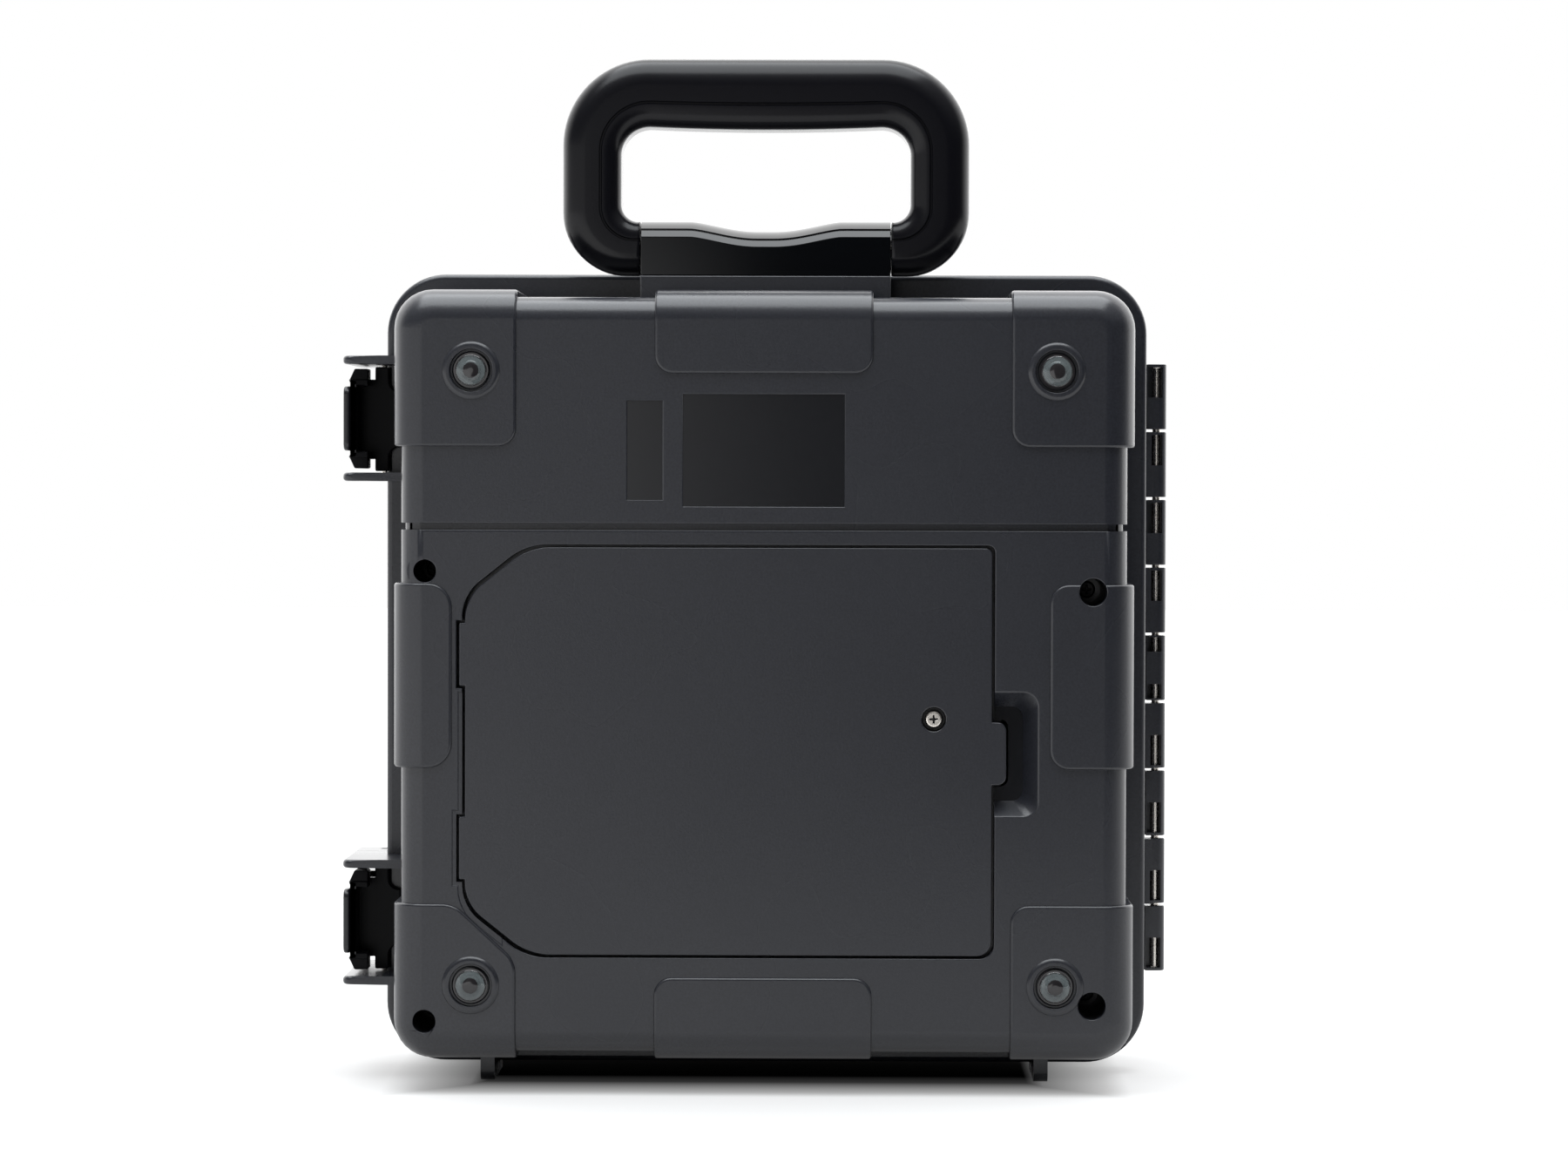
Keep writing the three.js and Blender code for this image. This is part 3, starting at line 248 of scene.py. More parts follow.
def rounded_block(name, x, y, z, corner, front=0.0, back=0.0, steps=8):
    """A block with its edges along Y rounded, and then those of its front and back faces."""
    piece = round_edges(add_block(name, x, y, z), corner, runs_along(1), steps)
    if front:
        round_edges(piece, front, lies_at(1, y[0]))
    if back:
        round_edges(piece, back, lies_at(1, y[1]), 3)
    return piece


def slice_off(piece, at, away):
    """Cuts the piece flat through a place and drops the side that away points to."""
    edit_all(piece)
    bpy.ops.mesh.bisect(plane_co=place(*at), plane_no=Vector(away).normalized(), use_fill=True,
                        clear_outer=True)
    switch_to("OBJECT")
    return piece


def combine(piece, way, *tools):
    """Joins the tools to the piece, or cuts them out of it, one after the other."""
    for tool in tools:
        take(piece)
        change = piece.modifiers.new("combine", "BOOLEAN")
        change.operation = way
        change.solver = "EXACT"
        change.object = tool
        bpy.ops.object.modifier_apply(modifier=change.name)
        bpy.data.objects.remove(tool)
    return piece


def join(piece, *tools):
    return combine(piece, "UNION", *tools)


def cut(piece, *tools):
    return combine(piece, "DIFFERENCE", *tools)


def clean(piece):
    """Merges what lies on one spot and dissolves the lines across flat faces."""
    edit_all(piece)
    bpy.ops.mesh.remove_doubles(threshold=SAME_SPOT)
    bpy.ops.mesh.dissolve_limited(angle_limit=math.radians(0.3))
    switch_to("OBJECT")
    return piece


def ease(piece, width, test=everywhere, steps=2):
    """Rounds the sharp outward edges that pass the test."""
    edit_none(piece, "EDGE")
    mesh = bmesh.from_edit_mesh(piece.data)
    for edge in mesh.edges:
        if edge.is_manifold and edge.is_convex and edge.calc_face_angle() > SHARP:
            if test(*(spot(vertex.co) for vertex in edge.verts)):
                edge.select_set(True)
    bmesh.update_edit_mesh(piece.data)
    bpy.ops.mesh.bevel(offset=width * MM, segments=steps, affect="EDGES", clamp_overlap=False)
    switch_to("OBJECT")
    return piece


def soften(piece, width, steps=2):
    """Rounds every sharp edge a little and evens out the shading of the faces between them."""
    clean(piece)
    edge = piece.modifiers.new("edge", "BEVEL")
    edge.width = width * MM
    edge.segments = steps
    edge.limit_method = "ANGLE"
    edge.angle_limit = math.radians(28)
    edge.use_clamp_overlap = False
    bpy.ops.object.modifier_apply(modifier="edge")
    return smooth(piece)


def smooth(piece, angle=35):
    take(piece)
    bpy.ops.object.shade_smooth_by_angle(angle=math.radians(angle))
    even = piece.modifiers.new("even", "WEIGHTED_NORMAL")
    even.keep_sharp = True
    even.weight = 100
    even.thresh = 0.0002
    bpy.ops.object.modifier_apply(modifier="even")
    return piece


def finish(piece, body, slot, *nodes):
    """Gives the piece its finish, its body and the solids that it stands for."""
    piece.data.materials.clear()
    piece.data.materials.append(material_of(slot))
    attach(piece, body)
    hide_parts(*nodes)
    return piece


def paint(piece, look_name, test):
    """Gives the faces that pass the test a finish of their own."""
    piece.data.materials.append(material_of(look_name))
    pick_faces(piece, test)
    piece.active_material_index = len(piece.data.materials) - 1
    bpy.ops.object.material_slot_assign()
    switch_to("OBJECT")
    return piece


def refine(node, body, width, test=everywhere, steps=3):
    """A copy of a solid with its outward edges rounded, in that solid's finish."""
    piece = clean(copy_solid(node, f"{node}_finished"))
    ease(piece, width, test, steps)
    return finish(smooth(piece), body, SLOTS[node], node)


def copy_solid(node, name):
    """A merged copy of a solid, to be finished by hand."""
    piece = copy_of(frame["nodes"][node], name)
    edit_all(piece)
    bpy.ops.mesh.remove_doubles(threshold=SAME_SPOT)
    switch_to("OBJECT")
    return piece


# Finishes

MADE = {}


def material_of(finish_name):
    """The material of a finish, made when it is first asked for."""
    if finish_name not in MADE:
        MADE[finish_name] = FINISHES[finish_name]()
    return MADE[finish_name]


def look():
    return bpy.context.scene.case_look


def set_inputs(node, **values):
    """Sets inputs of a node; an underscore stands for a space in an input's name."""
    for name, value in values.items():
        node.inputs[name.replace("_", " ")].default_value = value
    return node


def new_node(tree, kind, **values):
    return set_inputs(tree.nodes.new(f"ShaderNode{kind}"), **values)


def new_finish(name, base, rough, metal=0.0):
    """A material, its node tree and its shader."""
    material = bpy.data.materials.new(name)
    material.use_nodes = True
    shader = material.node_tree.nodes["Principled BSDF"]
    set_inputs(shader, Base_Color=(*base[:3], 1), Roughness=rough, Metallic=metal)
    return material, material.node_tree, shader


def noise(tree, scale, detail=3.0):
    """A noise over the piece, in the coordinates of its object."""
    coords = new_node(tree, "TexCoord")
    texture = new_node(tree, "TexNoise", Scale=scale, Detail=detail, Roughness=0.55)
    tree.links.new(coords.outputs["Object"], texture.inputs["Vector"])
    return texture.outputs["Fac"]


def ramp(tree, source, low, high, first, last):
    """Spreads a value between two ends over a range of colours or roughness."""
    spread = new_node(tree, "MapRange", From_Min=low, From_Max=high, To_Min=first, To_Max=last)
    tree.links.new(source, spread.inputs["Value"])
    return spread.outputs["Result"]


def tint(tree, shader, source, dark, light):
    """Colours the surface between two tones."""
    mix = new_node(tree, "Mix")
    mix.data_type = "RGBA"
    set_inputs(mix, A=(*dark[:3], 1), B=(*light[:3], 1))
    tree.links.new(source, mix.inputs["Factor"])
    tree.links.new(mix.outputs["Result"], shader.inputs["Base Color"])


def bump(tree, shader, source, depth):
    """Raises the surface by a value, in millimetres."""
    relief = new_node(tree, "Bump", Strength=1.0, Distance=depth * MM)
    tree.links.new(source, relief.inputs["Height"])
    tree.links.new(relief.outputs["Normal"], shader.inputs["Normal"])


def shade(colour, factor):
    return tuple(min(1.0, channel * factor) for channel in colour[:3])


def moulded(name, colour, rough, grain=1400.0, depth=0.02, spread=0.16, gloss=0.03, shine=0.5):
    """Moulded plastic: a fine spark-eroded grain over a slow drift of tone and gloss."""
    material, tree, shader = new_finish(name, colour, rough)
    set_inputs(shader, Specular_IOR_Level=shine)
    fine = noise(tree, grain)
    slow = noise(tree, 14.0, 2.0)
    tint(tree, shader, ramp(tree, fine, 0.3, 0.7, 0.0, 1.0),
         shade(colour, 1 - spread), shade(colour, 1 + spread))
    tree.links.new(ramp(tree, slow, 0.0, 1.0, rough - 2 * gloss, rough + 2 * gloss),
                   shader.inputs["Roughness"])
    bump(tree, shader, fine, depth)
    return material


def polished(name, colour, rough=0.12, metal=0.0, spread=0.1, marks=0.2):
    """A smooth surface with faint handling marks in its gloss."""
    material, tree, shader = new_finish(name, colour, rough, metal)
    slow = noise(tree, 22.0)
    fine = noise(tree, 2400.0, 2.0)
    tint(tree, shader, slow, shade(colour, 1 - spread), shade(colour, 1 + spread))
    tree.links.new(ramp(tree, fine, 0.3, 0.7, rough * (1 - marks), rough * (1 + marks)),
                   shader.inputs["Roughness"])
    return material


def clear(name, colour, rough, clarity=1.0):
    material, tree, shader = new_finish(name, colour, rough)
    set_inputs(shader, Transmission_Weight=clarity, IOR=1.45)
    slow = noise(tree, 260.0, 2.0)
    tint(tree, shader, slow, shade(colour, 0.94), shade(colour, 1.0))
    tree.links.new(ramp(tree, slow, 0.3, 0.7, rough * 0.8, rough * 1.3), shader.inputs["Roughness"])
    return material


FINISHES = {
    "charcoal_shell": lambda: moulded("charcoal shell", look().shell, 0.27),
    # A dull copy of the shell's plastic that reflects little, standing in for the shade beneath the case
    "shade_dulled_underside": lambda: moulded("shade_dulled_underside", look().shell, 0.6, shine=0.08),
    "seal_rubber": lambda: moulded("seal rubber", (0.012, 0.012, 0.013), 0.75, 900.0, 0.03),
    "steel": lambda: polished("nickel", look().metal, 0.28, 1.0, 0.08, 0.12),
    "cell_wrap": lambda: polished("cell wrap", look().cell, 0.28),
    "clear_foot": lambda: clear("clear foot", (0.56, 0.65, 0.67), 0.07, 0.82),
    "soft_handle": lambda: moulded("soft handle", look().handle, 0.24, 1500.0, 0.006, 0.1, 0.015, 0.23),
    "gloss_black": lambda: polished("gloss black", look().gloss, 0.06),
    "latch_black": lambda: moulded("latch black", look().latch, 0.34, 1500.0, 0.006, 0.1, 0.03, 0.1),
    # A lighter copy of the latches' black: painted light on the finger plate's face
    "latch_plate_painted_light": lambda: moulded("latch plate painted light", shade(look().latch, 2.5), 0.3, 1500.0, 0.006, 0.1),
    "inner_black": lambda: moulded("inner black", (0.02, 0.02, 0.022), 0.5, 1500.0),
    "panel_grey": lambda: moulded("panel grey", look().panel, 0.5, 1800.0),
    "display_glass": lambda: clear("display glass", (0.92, 0.95, 0.94), 0.03),
    "display_face": lambda: polished("display face", (0.28, 0.32, 0.25), 0.3),
    "board_green": lambda: polished("board green", (0.012, 0.09, 0.035), 0.35),
    "knob_black": lambda: moulded("knob black", (0.015, 0.015, 0.017), 0.4, 1500.0),
    "button_red": lambda: polished("button red", (0.42, 0.02, 0.012), 0.3),
    "pointer": lambda: polished("pointer", (0.6, 0.6, 0.58), 0.4),
    "key_grey": lambda: moulded("key grey", (0.06, 0.065, 0.07), 0.55, 1500.0),
    "terminal_red": lambda: polished("terminal red", (0.42, 0.02, 0.012), 0.25),
    "terminal_black": lambda: polished("terminal black", (0.012, 0.012, 0.013), 0.25),
    # A clearer, paler ring on each foot: a painted highlight
    "foot_painted_bright_ring": lambda: clear("foot painted bright ring", (0.85, 0.9, 0.92), 0.04),
    # A dark gloss on each foot's middle and edge: painted shade for the dark seen through the clear plastic
    "foot_painted_shade": lambda: polished("foot painted shade", (0.022, 0.02, 0.022), 0.08),
    # A smoother, darker copy of the shell: the label recesses' own gloss, and painted shade on the finger
    # pocket's floor
    "recess_gloss_and_painted_shade": lambda: polished("recess gloss and painted shade", shade(look().shell, 0.35), 0.14),
    # Dark steel for painted shade: in the screw's cross, in the door's sink round it, and on the screws
    # deep in the wells
    "painted_shade_steel": lambda: polished("steel darkened for painted shade", (0.012, 0.012, 0.013), 0.4, 0.3),
}


# The moulded halves of the case

def bumper_pads(depth):
    """The raised pads on the corners and on the middle of each side, sliced from one rounded block."""
    whole = rounded_block("pads", (-PAD[0], PAD[0]), (0, depth), (-PAD[1], PAD[1]), 12, front=9.5)
    inner_x, inner_z = PAD[0] - CORNER_PAD[0], PAD[1] - CORNER_PAD[1]
    pads = []
    for across, up in ((-1, 1), (1, 1), (1, -1), (-1, -1)):
        pad = copy_of(whole, "corner_pad")
        slice_off(pad, (inner_x * across, 0, 0), (-across, 0, 0))
        slice_off(pad, (0, 0, inner_z * up), (0, 0, -up))
        turns = [(inner_x * across, inner_z * up)]
        if across < 0 and up < 0:
            turns = [(-inner_x - CORNER_CUT[0], -inner_z), (-inner_x, -inner_z - CORNER_CUT[1])]
            slice_off(pad, (turns[0][0], 0, turns[0][1]), (CORNER_CUT[1], 0, CORNER_CUT[0]))
        for x, z in turns:
            round_edges(pad, 5.5 if len(turns) == 1 else 3.5, near_column(x, z), 7)
        pads.append(pad)
    for up in (-1, 1):
        pad = copy_of(whole, "end_pad")
        slice_off(pad, (END_PAD[0], 0, 0), (1, 0, 0))
        slice_off(pad, (-END_PAD[0], 0, 0), (-1, 0, 0))
        edge = (PAD[1] - END_PAD[1]) * up
        slice_off(pad, (0, 0, edge), (0, 0, -up))
        for x in (-END_PAD[0], END_PAD[0]):
            round_edges(pad, 5.5, near_column(x, edge), 7)
        pads.append(pad)
    for across, width, radius in ((-1, 18.4, 7.4), (1, 26.1, 5.8)):
        pad = copy_of(whole, "side_pad")
        edge = (PAD[0] - width) * across
        slice_off(pad, (edge, 0, 0), (-across, 0, 0))
        slice_off(pad, (0, 0, SIDE_PAD[1]), (0, 0, 1))
        slice_off(pad, (0, 0, SIDE_PAD[0]), (0, 0, -1))
        for z in SIDE_PAD:
            round_edges(pad, radius, near_column(edge, z), 8)
        pads.append(pad)
    bpy.data.objects.remove(whole)
    for pad in pads:
        ease(clean(pad), 0.85, lambda a, b: min(a.y, b.y) < depth - 1, 4)
    return pads


def half_case(name, depth, rim_depth):
    """A half as it leaves the mould, with its face at the back of the case and its rim solid."""
    half = rounded_block(name, (-BODY[0], BODY[0]), (1, depth - 2), (-BODY[1], BODY[1]), 9.7, front=7.4)
    join(half, *bumper_pads(depth - 4))
    rim = rounded_block("rim", (-RIM[0], RIM[0]), (depth - rim_depth, depth), (-RIM[1], RIM[1]), 18.75,
                        front=1.7, steps=16)
    return join(half, rim)


def ring(name, outer, inner, y, corner_out, corner_in):
    piece = rounded_block(name, (-outer[0], outer[0]), y, (-outer[1], outer[1]), corner_out, steps=10)
    hole = rounded_block("hole", (-inner[0], inner[0]), (y[0] - 2, y[1] + 2), (-inner[1], inner[1]),
                         corner_in, steps=10)
    return cut(piece, hole)


def guard_fins(y, front, back):
    """The four fins beside the latches, rounded at their tips."""
    fins = []
    for middle in LATCHES.values():
        for low in (16.95, -19.65):
            z = (middle + low, middle + low + 2.7)
            fin = add_block("guard_fin", (-132.4, -110), y, z)
            for corner, radius in ((y[0], front), (y[1], back)):
                if radius:
                    round_edges(fin, radius, runs_along(2, (-132.4, corner)))
            round_edges(fin, 1.1, lambda a, b: max(a.x, b.x) < -120 and any(
                lies_at(2, side)(a, b) for side in z), 4)
            fins.append(fin)
    return fins


def door_outline(name, grow, y):
    """The battery door's outline, larger or smaller all round."""
    left, right = -91.4 - grow, 70 + grow
    low, high = -85.7 - grow, 39.3 + grow
    piece = add_block(name, (left, right), y, (low, high))
    across, up = DOOR_CUT
    slice_off(piece, (left, 0, high - up), (-up, 0, across))
    slice_off(piece, (left, 0, low + up), (-up, 0, -across))
    for x, z, radius in ((left + across, high, 6), (left, high - up, 6), (left + across, low, 6),
                         (left, low + up, 6), (right, high, 2.2), (right, low, 4.5)):
        round_edges(piece, radius, near_column(x, z))
    return piece


def door_tab(z, grow, y):
    return add_block("tab", (-93.2 - grow, -89), y, (z - 9.6 - grow, z + 9.6 + grow))


def door_tabs(grow, y):
    """The door's two hinge tabs and its finger tab."""
    ends = (FINGER_TAB[0] - grow, FINGER_TAB[1] + grow)
    finger = add_block("finger_tab", (60, 74.4 + grow), y, ends)
    for z in ends:
        round_edges(finger, 2.6, near_column(74.4 + grow, z), 5)
    return [*(door_tab(z, grow, y) for z in DOOR_TABS), finger]


def base_walls():
    """What stands on the base, inside and out."""
    tools = [add_rod("well_wall", (x, z), radius + 2, 2.5, 46) for x, z, radius in WELLS]
    tools += [add_rod("socket_wall", centre, 7.3, 2.5, 4.2 + 0.01) for centre in FEET]
    for centre in FEET:
        collar = add_rod("socket_ring", centre, 9.1, -0.75, 3, sides=64)
        tools.append(round_edges(collar, 1.6, lies_at(1, -0.75)))
    tools.append(door_outline("tub", 3, (2.5, 29)))
    tools.append(rounded_block("pocket_back", (67, 86.4), (2.5, 8.5), (-45, -2.5), 4.6))
    boss = add_block("handle_boss", (-38.9, 38.9), (26, 60), (114.5, 123.45))
    tools.append(ease(boss, 0.5, lambda a, b: max(a.z, b.z) > 120, 3))
    for x in (-STAND_FIN, STAND_FIN):
        fin = add_block("stand_fin", around(x, 2.2), (34, BASE_DEPTH), (FLOOR, -113.6))
        round_edges(fin, 3, runs_along(0, (34, FLOOR)), 5)
        tools.append(fin)
    return [*tools, *guard_fins((34, BASE_DEPTH), 3, 0)]


def finger_pocket():
    """The pocket beside the door, which narrows towards its floor."""
    left = 65.4
    pocket = rounded_block("pocket", (left, 84.2), (-1.4, 6.5), (-42.7, -4.5), 4.6)
    for vertex in pocket.data.vertices:
        at = spot(vertex.co)
        reach = 1 - 0.24 * (at.y - 1) / 5.5
        vertex.co = place(left + (at.x - left) * reach, at.y, -23.8 + (at.z + 23.6) * reach)
    return pocket


def base_openings():
    """What is cut out of the base."""
    cuts = [add_rod("well", (x, z), radius, -3, 42) for x, z, radius in WELLS]
    cuts += [add_rod("screw_hole", (x, z), 1.9, 40, 48, sides=24) for x, z, _ in WELLS]
    cuts += [add_rod("socket", centre, 5.6, -3, 2.2, sides=64) for centre in FEET]
    cuts += [add_rod("socket_moat", centre, 6.5, -3, 1.0, sides=64) for centre in FEET]
    cuts.append(door_outline("room", -3, (-2, 27)))
    cuts.append(door_outline("rebate", 0.8, (-2, 3.8)))
    for piece in (door_outline("ledge", 1.9, (-2, 1.3)), door_tab(DOOR_TABS[1], 1.9, (-2, 1.3))):
        slice_off(piece, (-80, 0, 0), (1, 0, 0))
        cuts.append(slice_off(piece, (0, 0, -5.2), (0, 0, 1)))
    cuts += door_tabs(0.8, (-2, 3.8))
    cuts.append(finger_pocket())
    moat = join(door_outline("moat", 0.8, (-2, 9)), *door_tabs(0.8, (-2, 9)))
    cuts.append(cut(moat, join(door_outline("moat_keep", 0, (-3, 10)), *door_tabs(0, (-3, 10)))))
    cuts.append(ring("channel", (RIM[0] - 3, RIM[1] - 3), BODY, (60, 76), 15.75, 9.7))
    cuts.append(add_block("label_recess", (-24.7, 24.7), (-2, 1.4), (51.85, 86.15)))
    cuts.append(add_block("small_recess", (-41.75, -31.05), (-2, 1.4), (53.85, 84.15)))
    band = add_block("band", (-140, 140), (-3, 57), GROOVE)
    keep = rounded_block("keep", (-BODY[0] + 1.3, BODY[0] - 1.3), (3.2, 60), (-BODY[1], BODY[1]), 8.4,
                         front=5.2)
    return [*cuts, cut(band, keep)]


def base_shell():
    shell = half_case("case_base", BASE_DEPTH, 12.85)
    cut(shell, rounded_block("hollow", (-HOLLOW[0], HOLLOW[0]), (4, 76), (-HOLLOW[1], HOLLOW[1]), 8.2))
    join(shell, *base_walls())
    cut(shell, *base_openings())
    boss = add_rod("cover_boss", DOOR_SCREW, 4, 6.1, 28)
    join(shell, cut(boss, add_rod("bore", DOOR_SCREW, 1.9, 4, 15.1, sides=24)))
    clean(shell)
    ease(shell, 0.7, lambda a, b: all(-1 < p.y < 1.05 and abs(p.z - GROOVE[0]) < 0.02 for p in (a, b)), 3)
    ease(shell, 0.35, lambda a, b: all(-1 < p.y < 1.05 and abs(p.z - GROOVE[0]) > 1 for p in (a, b)), 3)
    return smooth(shell)


def lid_shell():
    depth = LID_BACK - LID_FRONT
    shell = half_case("case_lid", depth, 9.5)
    cut(shell, rounded_block("hollow", (-HOLLOW[0], HOLLOW[0]), (4, 60), (-HOLLOW[1], HOLLOW[1]), 8.2))
    turn_round(shell)
    join(shell, ring("tongue", (117.525, 122.025), (114.525, 119.025), (67, 73.15), 15.7, 12.7),
         *guard_fins((LID_FRONT, LID_FRONT + 16.4), 0, 3))
    bores = [add_rod("pin_bore", LATCH_PIN, 1.6, z - 21.65, z + 21.65, "Z", 24)
             for z in LATCHES.values()]
    cut(shell, *bores)
    return smooth(clean(shell))


def turn_round(shell):
    """Puts a half that was modelled as a base on the lid's side, face outwards."""
    for vertex in shell.data.vertices:
        at = spot(vertex.co)
        vertex.co = place(at.x, LID_BACK - at.y, at.z)
    edit_all(shell)
    bpy.ops.mesh.flip_normals()
    switch_to("OBJECT")


def knuckles(name, first, web, wide):
    """Every second knuckle of the long hinge, flat in front, with the windows that show the pin."""
    whole = None
    middle = (KNUCKLES - 1) // 2
    for index in range(first, KNUCKLES, 2):
        low = HINGE_LOW + (KNUCKLES - 1 - index) * KNUCKLE_PITCH
        high = low + KNUCKLE_LENGTH
        knuckle = add_block(name, (HINGE_X - 3.25, HINGE_X + 3.05), around(PARTING, 3.25),
                            (low, high))
        round_edges(knuckle, 2.5, lambda a, b: runs_along(2)(a, b) and a.x > HINGE_X, 7)
        ease(knuckle, 0.3, lambda a, b: abs(a.z - b.z) < 0.01)
        tools = [add_rod("bore", (HINGE_X, PARTING), 1.6, low - 1, high + 1, "Z", 24)]
        left = 2.9 if wide else 1.9
        spans = [(high - 10.6, high - 0.9)] if index < middle else [(low + 0.9, low + 10.6)]
        if index == middle:
            spans = [(low + 0.6, low + 5.2), (high - 5.2, high - 0.6)]
        for span in spans:
            tools.append(add_block("window", (HINGE_X - left, HINGE_X + 1.7), (60, PARTING + 1.5), span))
        join(knuckle, add_block("web", (119.2, HINGE_X - 1), web, (low, high)))
        cut(knuckle, *tools)
        whole = knuckle if whole is None else join_meshes(whole, knuckle)
    return smooth(whole)


def join_meshes(first, *others):
    take(first)
    for other in others:
        other.select_set(True)
    bpy.ops.object.join()
    return first


def battery_door():
    door = door_outline("battery_door", 0, (1, 3.5))
    join(door, *door_tabs(0, (1, 3.5)), add_rod("sleeve", DOOR_SCREW, 5.2, 1.3, 5.8))
    cut(door, add_rod("sink", DOOR_SCREW, 3.7, -1, 4.3, sides=64),
        add_rod("hole", DOOR_SCREW, 1.8, 3, 8, sides=24))
    return soften(door, 0.4, 3)


def screw(name, x, z, seat, length):
    """A pan-head machine screw with a cross recess that narrows as it goes down."""
    head = add_rod(name, (x, z), 2.7, seat - 1.9, seat)
    round_edges(head, 0.75, lies_at(1, seat - 1.9), 4)
    join(head, add_rod("thread", (x, z), 1.5, seat - 0.5, seat + length, sides=24))
    for long, short in ((1.75, 0.36), (0.36, 1.75)):
        arm = add_block("arm", around(x, long), (seat - 3, seat - 0.8), around(z, short))
        for vertex in arm.data.vertices:
            at = spot(vertex.co)
            if at.y > seat - 1:
                vertex.co = place(x + (at.x - x) * 0.6, at.y, z + (at.z - z) * 0.6)
        cut(head, arm)
    return soften(head, 0.08, 1)


def foot(name, x, z):
    """A clear bumper foot: a thin flange, a low ring and a small dome."""
    piece = add_rod(name, (x, z), 5.3, -0.8, 1.9, sides=64)
    pick_faces(piece, lambda at, normal: normal.y < -0.9)
    for thickness, height in ((0.45, 0), (0.25, 0.4), (0.25, 0.08), (1.05, 0.02), (0.35, 0.3), (0.55, 0.22),
                              (0.8, 0.12), (0.9, 0.06)):
        bpy.ops.mesh.inset(thickness=thickness * MM, depth=height * MM)
    switch_to("OBJECT")
    return smooth(piece, 50)


# Handle, its bracket and the latches

def handle():
    """The soft loop: one cross-section, extruded along the straights and spun round the corners."""
    take(None)
    end, out, bottom, top = 39.2, 63.5, 252.5 + FLOOR, 319.9 + FLOOR
    thick, wide, axis_y = 22.0, 18.4, 40.0
    low_turn, high_turn = 19.5, 27.0
    bpy.ops.mesh.primitive_plane_add(size=1, location=place(-end, axis_y, bottom + wide / 2),
                                     rotation=(0, math.pi / 2, 0))
    loop = bpy.context.object
    loop.name = "soft_handle"
    loop.scale = (wide * MM, thick * MM, 1)
    settle(loop)
    round_corners(loop, 5, lambda at: at.z > bottom + 9, 8)
    round_corners(loop, 7.4, lambda at: at.z < bottom + 1, 10)
    for reach in (11.55, 11.8, 12.15, 12.5):
        bpy.ops.mesh.select_all(action="SELECT")
        bpy.ops.mesh.bisect(plane_co=place(-end, axis_y, bottom + reach), plane_no=(0, 0, 1))
    switch_to("OBJECT")
    for vertex in loop.data.vertices:
        at = spot(vertex.co)
        if 11.7 < at.z - bottom < 12.3:
            vertex.co = place(at.x, axis_y + (at.y - axis_y) * 0.94, at.z)
    switch_to("EDIT")
    bpy.ops.mesh.select_all(action="SELECT")
    arm = top - bottom - low_turn - high_turn
    stretch((-(out - low_turn) + end, 0, 0), 3)
    spin((-(out - low_turn), axis_y, bottom + low_turn), 16)
    stretch((0, 0, arm), 4)
    spin((-(out - high_turn), axis_y, top - high_turn), 20)
    stretch((2 * (out - high_turn), 0, 0), 16)
    spin((out - high_turn, axis_y, top - high_turn), 20)
    stretch((0, 0, -arm), 4)
    spin((out - low_turn, axis_y, bottom + low_turn), 16)
    stretch((-(out - low_turn) + end, 0, 0), 3)
    bpy.ops.mesh.select_all(action="SELECT")
    bpy.ops.mesh.remove_doubles(threshold=SAME_SPOT)
    bpy.ops.mesh.normals_make_consistent(inside=False)
    switch_to("OBJECT")
    # The opening has its own corners, and its upper edge bows down a little
    side, low, high = 45.1, bottom + 16.5, top - 20.9
    low_in, high_in = 5.4, 9.4
    for vertex in loop.data.vertices:
        at = spot(vertex.co)
        x, z = abs(at.x), at.z
        lower = z < bottom + low_turn
        if lower or z > top - high_turn:
            turn, inner, edge, rim, way, first = (low_turn, low_in, bottom, low, 1, end) if lower else (
                high_turn, high_in, top, high, -1, 0)
            centre = Vector((out - turn, edge + way * turn))
            corner = Vector((side - inner, rim + way * inner))
            if x > centre.x:
                away = Vector((x, z)) - centre
                depth = (turn - away.length) / wide
                outer_at = centre + away.normalized() * turn
                inner_at = corner + away.normalized() * inner
            else:
                depth = way * (z - edge) / wide
                outer_at = Vector((x, edge))
                along = (x - first) / (centre.x - first)
                inner_at = Vector((first + (corner.x - first) * along, rim))
            if not lower:
                inner_at.y -= 1.3 * max(0.0, 1 - (inner_at.x / side) ** 2)
        else:
            depth = (out - x) / wide
            outer_at = Vector((out, z))
            along = (z - bottom - low_turn) / arm
            inner_at = Vector((side, low + low_in + (high - high_in - low - low_in) * along))
        put = outer_at.lerp(inner_at, max(0.0, depth))
        vertex.co = place(math.copysign(put.x, at.x), at.y, put.y)
    ease(loop, 0.6, lambda a, b: abs(abs(a.x) - end) < 0.05 and abs(abs(b.x) - end) < 0.05)
    return smooth(loop, 32)


def round_corners(piece, radius, test, steps):
    """Rounds the corners of a flat face that pass the test, and leaves the piece in edit mode."""
    edit_none(piece, "VERT")
    switch_to("OBJECT")
    for vertex in piece.data.vertices:
        vertex.select = test(spot(vertex.co))
    switch_to("EDIT")
    bpy.ops.mesh.bevel(offset=radius * MM, segments=steps, affect="VERTICES", clamp_overlap=False)


def stretch(move, steps):
    """Extrudes the picked end of a sweep along a straight."""
    for _ in range(steps):
        bpy.ops.mesh.extrude_region_move(TRANSFORM_OT_translate={"value": Vector(move) * MM / steps})


def spin(centre, steps):
    """Takes the picked end of a sweep round a square corner."""
    bpy.ops.mesh.spin(steps=steps, angle=-math.radians(90), center=place(*centre), axis=(0, 1, 0))


